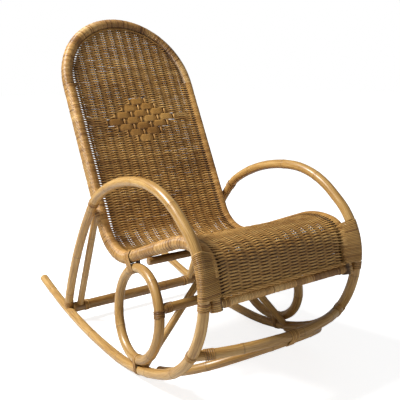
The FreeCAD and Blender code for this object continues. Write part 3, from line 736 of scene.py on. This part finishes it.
def pole_material():
    """Varnished rattan: streaks along the pole, dark lines at the growth nodes, a few dark flecks."""
    material, tree, shader = new_material("rattan_pole")
    grain = tree.attribute("grain", "Vector")
    blend = tree.blend(tree.noise(grain, 0.55, 6.0, 0.62), 0.55, tree.noise(grain, 0.09, 3.0))
    colour = tree.ramp(blend, (0.34, POLE_DARK), (0.49, POLE_MID), (0.64, POLE_LIGHT))
    colour = tree.mix("MIX", tree.scaled(tree.attribute("mark"), 0.55), colour, POLE_NODE)
    flecks = tree.ramp(tree.noise(grain, 0.30, 8.0, 0.75), (0.30, WHITE), (0.34, BLACK))
    colour = tree.mix("MIX", tree.scaled(flecks, 0.55), colour, POLE_NODE)
    # Darker poles: partly their own aged tone, partly painted shade under the seat
    age_and_shade = tree.ramp(tree.attribute("tone"), (0.0, POLE_AGE_AND_SHADE), (1.0, WHITE))
    tree.feed(shader["Base Color"], tree.mix("MULTIPLY", 1.0, colour, age_and_shade))
    settle(shader, {"Roughness": 0.36, "Coat Weight": 0.25, "Coat Roughness": 0.22})
    return material


def cane_material(name, stops, painted_shade_colour, painted_shade_share, roughness):
    """Cane strands: each strand has its own tint, with fine streaks along it, and painted shade mixed in at
    its edges and in hollows.
    """
    material, tree, shader = new_material(name)
    streaks = tree.noise(tree.attribute("grain", "Vector"), 0.35, 5.0)
    colour = tree.ramp(tree.blend(tree.attribute("tint"), 0.6, streaks), *stops)
    # Painted shade: the strand's painted shade field mixes in a near black colour
    shade = tree.mix("MIX", tree.scaled(tree.attribute("painted_shade"), painted_shade_share), colour, painted_shade_colour)
    stretched = tree.nodes.new("ShaderNodeMapping")
    stretched.inputs["Scale"].default_value = WEATHER_STRETCH
    tree.feed(stretched.inputs["Vector"], tree.place())
    weather = tree.ramp(tree.noise(stretched.outputs[0], 1.6, 3.0), (0.36, WEATHERED), (0.56, WHITE))
    tree.feed(shader["Base Color"], tree.mix("MULTIPLY", 1.0, shade, weather))
    shader["Roughness"].default_value = roughness
    return material


MATERIALS = {
    "pole": pole_material(),
    "cane": cane_material("cane_binding", ((0.20, CANE_DARK), (0.48, CANE_MID), (0.78, CANE_LIGHT)),
                          CANE_PAINTED_SHADE, 0.75, 0.42),
    "wrapped_pole": cane_material("wrapped_cane", ((0.18, CANE_DARK), (0.47, WRAP_MID), (0.80, WRAP_LIGHT)),
                                  CANE_PAINTED_SHADE, 0.85, 0.38),
    "weave": cane_material("woven_cane", ((0.20, WEAVE_DARK), (0.50, WEAVE_MID), (0.80, WEAVE_LIGHT)),
                           WEAVE_PAINTED_SHADE, 0.95, 0.45),
    "splint": cane_material("flat_splint", ((0.20, WEAVE_DARK), (0.52, SPLINT_MID), (0.85, SPLINT_LIGHT)),
                            WEAVE_PAINTED_SHADE, 0.9, 0.40)}


# Poles


rockers = {side: rocker_path(side * LOOP_HALF_SPAN) for name, side in SIDES}
arms = {side: arm_path(side * LOOP_HALF_SPAN) for name, side in SIDES}
seat_rails = {side: seat_rail_path(side * RAIL_HALF_SPAN) for name, side in SIDES}
rings = {side: Ring(side) for name, side in SIDES}
hoop = hoop_path()
stretcher = stretcher_path()
low_brace = low_brace_path()
posts = {}
bars = {}


def add_pole(node, *shape, name=None, **options):
    dress(tubes(name or node + "_pole", [pole(*shape, **options)]), "pole", node)


def add_wrapped(node, *shape, **options):
    dress(tubes(node + "_wrap", [wrapped_pole(*shape, **options)], len(WRAP_STEPS)), "wrapped_pole", node)


def side_poles():
    for name, side in SIDES:
        arm_end, arm_way, _ = arms[side].at(np.array(arms[side].length))
        post = Path(arc(arm_end, arm_way, rocker_point(side * LOOP_HALF_SPAN, POST_REACH)[0]))
        posts[side] = post
        add_pole(name + "_rocker", rockers[side], LOOP_POLE)
        add_pole(name + "_arm", arms[side], LOOP_POLE)
        add_pole(name + "_rear_post", post, POST_POLE, short=LOOP_POLE * INSET, name=name + "_post_pole")
        add_pole(name + "_ring", rings[side].path, RING_POLE, tone=RING_TONE)


def cross_poles():
    bar_ends = [rocker_point(side * LOOP_HALF_SPAN, REAR_BAR_REACH)[0] + vec(0, 0, REAR_BAR_LIFT)
                for name, side in SIDES]
    bars["rear"] = Path(bar_ends)
    inset = LOOP_POLE * INSET
    add_pole("rear_bar", bars["rear"], REAR_BAR_POLE, inset, inset, tone=REAR_BAR_TONE)
    bars["mid"] = Path([rings[-1].at(MID_BAR_RISE), rings[1].at(MID_BAR_RISE)])
    inset = RING_POLE * INSET
    add_pole("mid_bar", bars["mid"], MID_BAR_POLE, inset, inset, tone=LOW_POLE_TONE)
    drop = upward(SEAT_SLOPE) * -((SEAT_RAIL_POLE + CROSSRAIL_POLE) / 2 + FIT)
    reach = RAIL_HALF_SPAN + SEAT_RAIL_POLE / 2
    crossrail = Path([seat_point(x, CROSSRAIL_DISTANCE) + drop for x in (-reach, reach)])
    add_pole("seat_crossrail", crossrail, CROSSRAIL_POLE, tone=REAR_BAR_TONE, name="crossrail_pole")
    add_pole("low_brace", low_brace, LOW_BRACE_POLE, tone=LOW_POLE_TONE)
    for name, side in SIDES:
        x = side * RAIL_HALF_SPAN
        brace = Path([back_point(x, BACK_BRACE_TOP), vec(x, bar_ends[0][1], bar_ends[0][2])])
        add_pole(name + "_back_brace", brace, BACK_BRACE_POLE, HOOP_POLE * WRAPPED_INSET,
                 REAR_BAR_POLE * INSET)
        offset = side * (DIAGONAL_POLE / 2 + FIT)
        foot = rocker_point(side * LOOP_HALF_SPAN, -DIAGONAL_REACH - offset)[0]
        diagonal = Path([foot, vec(-side * DIAGONAL_CROSSING, foot[1], crossrail.points[0][2])])
        add_pole(name + "_diagonal", diagonal, DIAGONAL_POLE, LOOP_POLE * DIAGONAL_INSET,
                 CROSSRAIL_POLE * DIAGONAL_INSET)


SPLICE_GAP = 0.3


def splice_cut(side):
    """Holds a stretcher half's points back to the slanting plane of the splice."""
    def held(path, places, angles, radius):
        out = spokes(*path.at(places)[1:], angles)
        plane = path.length / 2 - out[..., 2] * radius * SPLICE_LENGTH / STRETCHER_POLE
        return np.minimum(places, plane - SPLICE_GAP) if side < 0 else np.maximum(places, plane + SPLICE_GAP)
    return held


def stretcher_poles():
    before_splice = stretcher.length / 2 - SPLICE_LENGTH / 2 - 2
    ends = (LOOP_POLE * INSET, before_splice)
    for name, side in SIDES:
        add_pole("front_stretcher_" + name, stretcher, STRETCHER_POLE, *ends[::-side], splice_cut(side),
                 LOW_POLE_TONE, name="stretcher_pole_" + name)


FRONT_RAIL_STAIN = (352.0, 436.0)
HOOP_PITCH = 4.5
RAIL_PITCH = 4.6


def towards_weave(centre):
    """Way from a rail or the arch towards the woven sheet."""
    above = np.clip((centre - back_point(0, ARCH_BASE)) @ BACK_UP, 0, None)
    return unit(-X_AXIS * centre[..., :1] - BACK_UP * above[..., None])


def wrapped_poles():
    add_wrapped("back_hoop", hoop, HOOP_POLE, HOOP_PITCH, inward=towards_weave)
    for name, side in SIDES:
        add_wrapped(name + "_seat_rail", seat_rails[side], SEAT_RAIL_POLE, RAIL_PITCH, inward=towards_weave)
    height = DROP_LENGTH - FRONT_RAIL_UP
    bars["front"] = Path([drop_point(x, height) for x in (-RAIL_HALF_SPAN, RAIL_HALF_SPAN)])
    inset = SEAT_RAIL_POLE * WRAPPED_INSET
    add_wrapped("front_rail", bars["front"], FRONT_RAIL_POLE, RAIL_PITCH, inset, inset,
                stained=FRONT_RAIL_STAIN)


# Bindings


LEG_STRAND = 3.9
LEG_PITCH = 4.05
LEG_WRAP_LOW = 342.0
LEG_WRAP_TURNS = 28.3
LEG_FRONT = -400.0
LEG_BAND_BELOW = 26.0
BINDING_STRAND = 5.0
BINDING_PITCH = 5.4
BINDING_THICKNESS = 1.5
BINDING_GAP = 4.0
SEATING = 0.2


def wound(path, diameter, first, turns, other=None, other_diameter=0.0, pitch=BINDING_PITCH,
          width=BINDING_STRAND):
    return cane_strip(path, first, turns, pitch, diameter / 2 + SEATING, width, BINDING_THICKNESS, other,
                      other_diameter / 2 + SEATING)


def add_binding(name, strips, node=None):
    dress(tubes(name + "_cane", strips), "cane", node or name + "_bindings")


def leg_bindings():
    """Wrap that holds the seat rail's drop to the front leg, and the short binding on the leg below it."""
    strips = []
    for name, side in SIDES:
        leg = arms[side]
        front = leg.points[:, 1] < LEG_FRONT
        low = leg.places[front][np.argmin(np.abs(leg.points[front][:, 2] - LEG_WRAP_LOW))]
        strips.append(wound(leg, LOOP_POLE, low, LEG_WRAP_TURNS, seat_rails[side], SEAT_RAIL_POLE,
                            LEG_PITCH, LEG_STRAND))
        strips.append(wound(leg, LOOP_POLE, low - LEG_BAND_BELOW, 4))
    add_binding("leg_wrap", strips, "leg_wraps")


def ring_bindings():
    heads, feet, on_ring = [], [], []
    for name, side in SIDES:
        x = side * RAIL_HALF_SPAN
        ring = rings[side]
        joint = Path([seat_point(x, SEAT_BEND_RUN), seat_point(x, FRAME_JOINT + 40)], 1.0)
        head_place = FRAME_JOINT - SEAT_BEND_RUN
        heads.append(wound(joint, HOOP_POLE, head_place - 3 * BINDING_PITCH, 6, ring.path, RING_POLE))
        foot = rockers[side].place_of(ring.foot)
        feet.append(wound(rockers[side], LOOP_POLE, foot - 1.5 * BINDING_PITCH, 3, ring.path, RING_POLE))
        bar_place = ring.path.place_of(ring.at(MID_BAR_RISE))
        on_ring.append(wound(ring.path, RING_POLE, bar_place - 12 - 2 * BINDING_PITCH, 4))
    add_binding("ring_head", heads)
    add_binding("ring_foot", feet)
    add_binding("ring", on_ring)


def end_bindings(name, path, diameter, inset, turns):
    """The same short binding near both ends of a bar."""
    starts = (inset, path.length - inset - turns * BINDING_PITCH)
    add_binding(name, [wound(path, diameter, start, turns) for start in starts])


def joint_bindings():
    end_bindings("mid_bar", bars["mid"], MID_BAR_POLE, RING_POLE / 2 + BINDING_GAP, 4)
    end_bindings("front_rail", bars["front"], FRONT_RAIL_POLE, SEAT_RAIL_POLE / 2 + 1.5 * BINDING_GAP, 3)
    end_bindings("stretcher", stretcher, STRETCHER_POLE, (LOOP_POLE + STRETCHER_POLE) / 2 + BINDING_GAP, 5)
    inset = LOOP_HALF_SPAN - RAIL_HALF_SPAN + BACK_BRACE_POLE / 2 + BINDING_GAP
    end_bindings("rear_bar", bars["rear"], REAR_BAR_POLE, inset, 3)
    splice = wound(stretcher, STRETCHER_POLE, stretcher.length / 2 - 2.5 * BINDING_PITCH, 5, low_brace,
                   LOW_BRACE_POLE)
    add_binding("splice", [splice], "splice_binding")
    loop_strips, arm_strips = [], []
    for name, side in SIDES:
        rocker, arm, post = rockers[side], arms[side], posts[side]
        loop_strips.append(wound(rocker, LOOP_POLE, rocker.length - 1.5 * BINDING_PITCH, 3))
        arm_strips.append(wound(arm, LOOP_POLE, arm.length - 2.5 * BINDING_PITCH, 4))
        arm_strips.append(wound(post, POST_POLE, post.length - LOOP_POLE / 2 - 4 * BINDING_PITCH, 4))
    add_binding("loop_joint", loop_strips)
    add_binding("arm_joint", arm_strips)


# Woven panel


def panel_path():
    """Side view of the woven sheet from the top of the arch to the front rail."""
    back_end = back_point(0, SEAT_BEND_RUN) + BACK_FACE * PANEL_LIFT
    seat_start = seat_point(0, SEAT_BEND_RUN) + upward(SEAT_SLOPE) * PANEL_LIFT
    points = [back_point(0, BACK_LENGTH) + BACK_FACE * PANEL_LIFT]
    points += arc(back_end, -BACK_UP, seat_start)
    points += front_arcs(0, PANEL_LIFT)
    points += [drop_point(0, DROP_LENGTH - FRONT_RAIL_UP - FRONT_RAIL_POLE / 2) + DROP_FACE * PANEL_LIFT]
    return Path(points)


panel = panel_path()
DIAMOND_PLACE = BACK_LENGTH - SPLINT_MIDDLE
LAST_STAKE = STAKES_EACH_SIDE * STAKE_SPACING
ARCH_PLACE = BACK_LENGTH - ARCH_BASE
BEND_PLACE = BACK_LENGTH - SEAT_BEND_RUN
JOINT_PLACE = panel.place_of(seat_point(0, FRAME_JOINT) + upward(SEAT_SLOPE) * PANEL_LIFT)
DROP_PLACE = panel.place_of(drop_point(0, 0) + DROP_FACE * PANEL_LIFT)


def panel_half_width(places):
    """Half width of the sheet between the rails, narrower under the arch."""
    above = np.clip(BACK_LENGTH - places - ARCH_BASE, 0, RAIL_HALF_SPAN)
    return np.sqrt(RAIL_HALF_SPAN ** 2 - above ** 2)


def on_panel(x, places, lift):
    """Points at x and at a distance down the sheet, lifted towards the sitter, with the way of that lift."""
    centre, tangent, _ = panel.at(places)
    face = np.cross(tangent, X_AXIS)
    point = centre + face * np.asarray(lift)[..., None]
    point[..., 0] = x
    return point, face


def diamond_row(place):
    """Row of the diamond at a distance down the sheet, counted from its middle row."""
    return (place - DIAMOND_PLACE) / SPLINT_ROW_PITCH


def diamond_half_width(place):
    """Half width of the diamond at a distance down the sheet, nothing outside it."""
    row = abs(round(diamond_row(place)))
    return max(0, SPLINT_ROWS_EACH_SIDE + 1 - row) * STAKE_SPACING


# Share, wavelengths across and down over a full turn, and phase of each wave in the lie of the rows
WANDER_WAVES = ((0.5, 71, 97, 0.0), (0.3, 33, -61, 1.7), (0.4, 140, 43, 4.1))


def row_wander(x, place):
    """How far a row lies off its true line, the same for rows close together."""
    tilt = DIAMOND_TILT * x * np.exp(-((place - DIAMOND_PLACE) / 130) ** 2 - (x / 190) ** 4)
    waves = sum(share * np.sin(x / across + place / down + phase)
                for share, across, down, phase in WANDER_WAVES)
    return ROW_WANDER * waves - tilt


WEAVER_STEP = 3.4
EDGE_STEP = 3.5
EDGE_SINK = math.radians(50)
STRAND_OVER_RAIL = 0.9
STRAND_SINK = 2.4
EDGE_PAIRING = 0.46
STRAND_INTO_RAIL = 8.0
NARROWED_BESIDE_RAIL = (0.04, 0.34)
NARROWED_IN_PLANE = 0.14
WORN_TINT = 0.12


def goes_over_rail(place):
    """Rows between the arch and the drop go over the rails, the others end in them."""
    return ARCH_PLACE + 4 < place < DROP_PLACE + 20


def over_rail(place):
    """Strand from the last stake over the rail: reach past the rail's centre, lift, section angle, length."""
    radius = (HOOP_POLE if place < JOINT_PLACE else SEAT_RAIL_POLE) / 2 + STRAND_OVER_RAIL
    start = np.array([LAST_STAKE - RAIL_HALF_SPAN, PANEL_LIFT])
    away = np.linalg.norm(start)
    touch = math.atan2(start[1], start[0]) - math.acos(radius / away)
    run = math.sqrt(away ** 2 - radius ** 2)
    wound_length = radius * (touch - EDGE_SINK)
    lengths = np.arange(EDGE_STEP, run + wound_length, EDGE_STEP)
    angles = touch - np.clip(lengths - run, 0, None) / radius
    on_arc = radius - STRAND_SINK * smooth_step((lengths - run - wound_length + 9) / 9)
    ahead = radius * np.array([math.cos(touch), math.sin(touch)]) - start
    straight = lengths < run
    reach = np.where(straight, start[0] + ahead[0] * lengths / run, on_arc * np.cos(angles))
    lift = np.where(straight, start[1] + ahead[1] * lengths / run, on_arc * np.sin(angles))
    eased = math.pi / 2 + (touch - math.pi / 2) * smooth_step(lengths / 12)
    return reach, lift - PANEL_LIFT, np.where(straight, eased, angles), lengths


def strand_line(row, place, start, end):
    """Places across, lifts, section angles, lengths past the last stake and shares under a stake."""
    x = np.linspace(start, end, max(5, int((end - start) / WEAVER_STEP)))
    wave = np.cos(math.pi * (x / STAKE_SPACING + row))
    lift = WEAVE_SWING * np.sign(wave) * np.abs(wave) ** 4
    if abs(diamond_row(place)) < 0.5:
        lift = 1.4 + 0.25 * lift
    under = smooth_step((0.3 - wave) / 1.05)
    columns = np.stack([x, lift, np.full(len(x), math.pi / 2), np.abs(x) - LAST_STAKE, under])
    if not goes_over_rail(place):
        columns[3] = np.abs(x) - panel_half_width(place) + HOOP_POLE / 2 + 14
        return columns
    reach, rise, angle, lengths = over_rail(place)
    eased = 1 - smooth_step(lengths / 18)
    if start < 1 - LAST_STAKE:
        edge = np.stack([-RAIL_HALF_SPAN - reach, rise + lift[0] * eased, angle, lengths, 0 * reach])
        columns = np.concatenate([edge[:, ::-1], columns], axis=1)
    if end > LAST_STAKE - 1:
        edge = np.stack([RAIL_HALF_SPAN + reach, rise + lift[-1] * eased, angle, lengths, 0 * reach])
        columns = np.concatenate([columns, edge], axis=1)
    return columns


def weather(place):
    """Darker and paler bands across the sheet, most of them on the upper back."""
    bands_here = 0.10 * math.sin(place / 23 + 0.8) + 0.07 * math.sin(place / 11 + 2.0)
    front = 0.14 * smooth_step((place - DROP_PLACE + 60) / 60)
    upper = place - 190
    return bands_here * math.exp(-(upper / 190) ** 2) - 0.08 * math.exp(-(upper / 130) ** 2) + front


def weaver(row, place, start, end):
    """One strand of the weave between two places across, over and under the stakes, with its fields."""
    x, lift, angle, past, under = strand_line(row, place, start, end)
    half = panel_half_width(place)
    woven = past < 0
    paired = smooth_step((past - 3) / 6) * (1 - smooth_step((past - 16) / 8))
    shift = ROW_PITCH * EDGE_PAIRING * (1 if row % 2 == 0 else -1)
    wobble = 0.2 * drifting(x, np.linspace(-half, half, 12))
    inside = 1 - smooth_step((past + 20) / 20)
    places = place + paired * shift + wobble + row_wander(x, place) * inside
    centre, face = on_panel(x, places, lift)
    out = face * np.sin(angle)[:, None] + X_AXIS * (np.sign(x) * np.cos(angle))[:, None]
    width = WEAVER_WIDTH * random.uniform(0.96, 1.04)
    width = width * (1 - np.where(x > 0, NARROWED_BESIDE_RAIL[1], NARROWED_BESIDE_RAIL[0]) * paired)
    width *= 1 - NARROWED_IN_PLANE * (1 - smooth_step(np.abs(lift) / 1.2)) * woven
    grid = swept(centre, panel.at(places)[1], width / 2, out, WEAVER_DEPTH / 2)
    drift = drifting(x, np.linspace(-half, half, 9))
    worn = WORN_TINT * np.cos(math.pi * (x / STAKE_SPACING + row)) * woven
    tint = np.clip(random.normal(0.5, 0.12) + weather(place) + 0.10 * drift + worn, 0, 1)
    # Painted shade under the stakes, in the paired ends beside the rails and on the strand's sides, lighter
    # on the side towards the sitter
    painted_edge_shade = 0.6 * np.abs(ROUND_SECTION[:, 0]) ** 3 - 0.2 * ROUND_SECTION[:, 1]
    painted_shade = np.clip((under + 0.4 * paired)[:, None] + painted_edge_shade, 0, 1)
    return strand(grid, tint[:, None], painted_shade, x[:, None] * 0.06, ROUND_SECTION[:, 1] * 3, row * 7.3)


def arch_strand():
    """One strand along the inside of the arch, over the ends of the rows."""
    turns = np.radians(np.linspace(34, 146, 110))
    ends = smooth_step(np.abs(turns - math.pi / 2) / math.radians(20) - 1.8)
    radius = RAIL_HALF_SPAN - HOOP_POLE / 2 - 1.2 + 7 * ends
    x = radius * np.cos(turns)
    places = ARCH_PLACE - radius * np.sin(turns)
    centre, face = on_panel(x, places, 2.6)
    outward = X_AXIS * np.cos(turns)[:, None] - panel.at(places)[1] * np.sin(turns)[:, None]
    grid = swept(centre, outward, WEAVER_WIDTH / 2, face, WEAVER_DEPTH / 2)
    tint = np.clip(drifting(turns, np.linspace(0, math.pi, 15), 0.5, 0.14), 0, 1)
    # Painted shade on the side of the strand away from the sitter
    return strand(grid, tint[:, None], 0.3 - 0.3 * ROUND_SECTION[:, 1], turns[:, None] * 14,
                  ROUND_SECTION[:, 1] * 3, 0.0)


def weaver_spans(place):
    """Where a row starts and ends: from rail to rail, or from each rail to the diamond."""
    half = LAST_STAKE if goes_over_rail(place) else panel_half_width(place) - STRAND_INTO_RAIL
    inner = diamond_half_width(place)
    return [(-half, -inner), (inner, half)] if inner > 0 else [(-half, half)]


def stake(index):
    """One stake of the warp, from the arch to the front rail, over or under the splints in the diamond."""
    x = index * STAKE_SPACING
    top = ARCH_PLACE - math.sqrt(RAIL_HALF_SPAN ** 2 - x ** 2) + 8
    places = np.arange(top, panel.length + 4, 4.5)
    level = places - row_wander(x, places)
    inside = np.array([1.0 if abs(x) <= diamond_half_width(p) > 0 else 0.0 for p in level])
    wave = np.cos(math.pi * (index + diamond_row(level)))
    front = inside * smooth_step(1.6 * wave - 0.2)
    centre, face = on_panel(x + 0.8 * np.sin(places / 90 + index), places, STITCH_LIFT * wave * inside)
    plain = STAKE_RADIUS * STAKE_FLATNESS
    grid = swept(centre, X_AXIS[None], plain + (STITCH_WIDTH / 2 - plain) * front, face, STAKE_RADIUS)
    # Painted shade: the stakes are dark except where they come to the front as stitches in the diamond
    return strand(grid, 0.4 + 0.15 * inside[:, None], 0.75 - 0.75 * front[:, None], places[:, None] * 0.06,
                  ROUND_ANGLES, index * 5.1)


# Dark strip of painted shade behind the row ends beside each seat rail
SHADE_STRIP_FROM_RAIL = 9.0
SHADE_STRIP_DEPTH = 5.2
SHADE_STRIP_HALF = (13.5, 1.2)


def shade_strip(side):
    """Flat dark strip beside a seat rail, behind the ends of the rows: painted shade seen through the slots
    between them.
    """
    places = np.arange(JOINT_PLACE + 10, panel.length, 6.0)
    x = side * (RAIL_HALF_SPAN - SEAT_RAIL_POLE / 2 - SHADE_STRIP_FROM_RAIL)
    centre, face = on_panel(x, places, -SHADE_STRIP_DEPTH)
    grid = swept(centre, X_AXIS[None], SHADE_STRIP_HALF[0], face, SHADE_STRIP_HALF[1])
    return strand(grid, 0.3, 1.0, places[:, None] * 0.06, ROUND_ANGLES, side * 3.1)


WEAVE_PIECES = ("weave_upper_back", "weave_middle_back", "weave_lower_back", "weave_seat", "weave_front")


def woven_sheet():
    """The rows of the weave, in pieces of a handy size, the stakes and the dark strips of painted shade
    beside the seat rails.
    """
    back_rows = np.arange(FIRST_ROW, BEND_PLACE, ROW_PITCH)
    seat_rows = np.arange(back_rows[-1] + SEAT_ROW_PITCH, panel.length, SEAT_ROW_PITCH)
    rows = list(enumerate(np.concatenate([back_rows, seat_rows])))
    for name, share in zip(WEAVE_PIECES, np.array_split(np.arange(len(rows)), len(WEAVE_PIECES))):
        strands = [weaver(*rows[i], *span) for i in share for span in weaver_spans(rows[i][1])]
        if name == WEAVE_PIECES[0]:
            strands.append(arch_strand())
        dress(tubes(name, strands, capped=False), "weave", "woven_panel")
    stakes = [stake(i) for i in range(-STAKES_EACH_SIDE, STAKES_EACH_SIDE + 1)]
    # Dark strips of painted shade behind the row ends beside the seat rails
    stakes += [shade_strip(side) for name, side in SIDES]
    dress(tubes("weave_stakes", stakes, capped=False), "weave", "woven_panel")


def splint(row):
    """One wide flat strip of the diamond, over and under the stakes, as a grid with its fields."""
    middle = DIAMOND_PLACE + row * SPLINT_ROW_PITCH
    reach = diamond_half_width(middle) + SPLINT_PAST_STAKE
    x = np.linspace(-reach, reach, int(2 * reach / 3))
    place = middle + row_wander(x, middle)
    wave = -np.cos(math.pi * (x / STAKE_SPACING + row))
    lift = SPLINT_SWING * np.tanh(2.2 * (wave + 0.35)) / math.tanh(2.2)
    centre, face = on_panel(x, place, lift)
    pinch = 1 - 0.04 * smooth_step(-wave)
    grid = swept(centre, panel.at(place)[1], SPLINT_WIDTH / 2 * pinch, face, SPLINT_THICKNESS / 2,
                 SPLINT_SECTION)
    tints = random.normal(0.62, 0.10, 12)[np.clip(((x + reach) / 2 / STAKE_SPACING).astype(int), 0, 11)]
    # Painted shade where the splint dives behind a stake, beside the stitches
    painted_shade = 0.97 * smooth_step((-wave - 0.66) / 0.22)
    return strand(grid, np.clip(tints, 0, 1)[:, None], painted_shade[:, None], x[:, None] * 0.05,
                  SPLINT_SECTION[:, 0] * 8, row * 11.3)


def diamond():
    """Wide flat splints woven over and under the stakes in place of the fine strands."""
    strips = [splint(row) for row in range(-SPLINT_ROWS_EACH_SIDE, SPLINT_ROWS_EACH_SIDE + 1)]
    dress(tubes("diamond_cane", strips, capped=False), "splint", "diamond_splints")


def border():
    """Three strands twisted along the lower edge of the sheet, above the front rail."""
    height = DROP_LENGTH - FRONT_RAIL_UP - FRONT_RAIL_POLE / 2 - 3
    reach = RAIL_HALF_SPAN - SEAT_RAIL_POLE / 2
    spine = Path([drop_point(x, height) + DROP_FACE * (PANEL_LIFT + 5) for x in (-reach, reach)])
    places = np.linspace(0, spine.length, int(spine.length / 2.5))
    grids = []
    for number in range(3):
        twist = places / BORDER_TWIST * TAU + number * TAU / 3
        path = Path(around(spine, places, twist, BORDER_STRAND * 1.3))
        place_grid, angle_grid = np.meshgrid(path.places, ROUND_ANGLES, indexing="ij")
        grid = around(path, place_grid, angle_grid, BORDER_STRAND * 0.85)
        tint = 0.55 + 0.1 * number
        # A little painted shade all along the strands
        grids.append(strand(grid, tint, 0.1, place_grid * 0.06, angle_grid, tint * 50))
    dress(tubes("front_border_cane", grids, capped=False), "weave", "front_border")


# Stage


FLOOR_SIZE = 40.0
FLOOR_GREY = (0.75, 0.75, 0.75)
FLOOR_GLOW_NEAR = 0.80
FLOOR_GLOW_FAR = 1.0
FLOOR_GLOW_REACH = (0.9, 2.0)
WORLD_STRENGTH = 0.17
LIGHT_TARGET = (0, 0, 0.5)


def floor_material():
    """Pale floor that reads as white to the camera and keeps the chair's shadow."""
    material, tree, shader = new_material("pale_floor")
    settle(shader, {"Base Color": (*FLOOR_GREY, 1), "Roughness": 0.9, "Specular IOR Level": 0.1,
                    "Emission Color": (*WHITE, 1)})
    distance = tree.nodes.new("ShaderNodeVectorMath")
    distance.operation = "LENGTH"
    tree.feed(distance.inputs[0], tree.place())
    spread = tree.nodes.new("ShaderNodeMapRange")
    settle(spread.inputs, {"From Min": FLOOR_GLOW_REACH[0], "From Max": FLOOR_GLOW_REACH[1],
                           "To Min": FLOOR_GLOW_NEAR, "To Max": FLOOR_GLOW_FAR})
    tree.feed(spread.inputs["Value"], distance.outputs["Value"])
    tree.feed(shader["Emission Strength"], tree.scaled(tree.camera_ray(), spread.outputs["Result"]))
    return material


def lamp(name, place, size, power):
    data = bpy.data.lights.new(name, "AREA")
    data.shape = "DISK"
    data.size = size
    data.energy = power
    light = placed(name, data)
    x, y, z = np.array(LIGHT_TARGET) - np.array(place)
    light.location = place
    light.rotation_euler = (math.atan2(math.hypot(x, y), -z), 0, math.atan2(y, x) - math.pi / 2)


def stage():
    half = FLOOR_SIZE / 2
    corners = [(-half, -half, 0), (half, -half, 0), (half, half, 0), (-half, half, 0)]
    mesh = bpy.data.meshes.new("floor")
    mesh.from_pydata(corners, [], [(0, 1, 2, 3)])
    mesh.materials.append(floor_material())
    floor = placed("floor", mesh)
    world = bpy.data.worlds.new("studio")
    bpy.context.scene.world = world
    tree = Tree(world)
    background = tree.nodes["Background"].inputs
    background["Color"].default_value = (1, 1, 1, 1)
    seen = tree.scaled(tree.camera_ray(), 1 - WORLD_STRENGTH)
    tree.feed(background["Strength"], tree.maths("ADD", seen, WORLD_STRENGTH))
    lamp("key", (-1.9, 0.75, 2.85), size=0.9, power=144)
    lamp("fill", (0.6, -3.0, 1.4), size=2.0, power=9)


def camera():
    data = bpy.data.cameras.new("photo_camera")
    data.sensor_width = 36
    data.lens = CAMERA_LENS
    data.clip_start, data.clip_end = 0.05, 100
    view = placed("photo_camera", data)
    view.location = CAMERA_PLACE
    view.rotation_euler = [math.radians(a) for a in CAMERA_TURN]
    bpy.context.scene.camera = view
    bpy.context.scene.view_settings.view_transform = "Standard"


side_poles()
cross_poles()
stretcher_poles()
wrapped_poles()
leg_bindings()
ring_bindings()
joint_bindings()
woven_sheet()
diamond()
border()
stage()
camera()
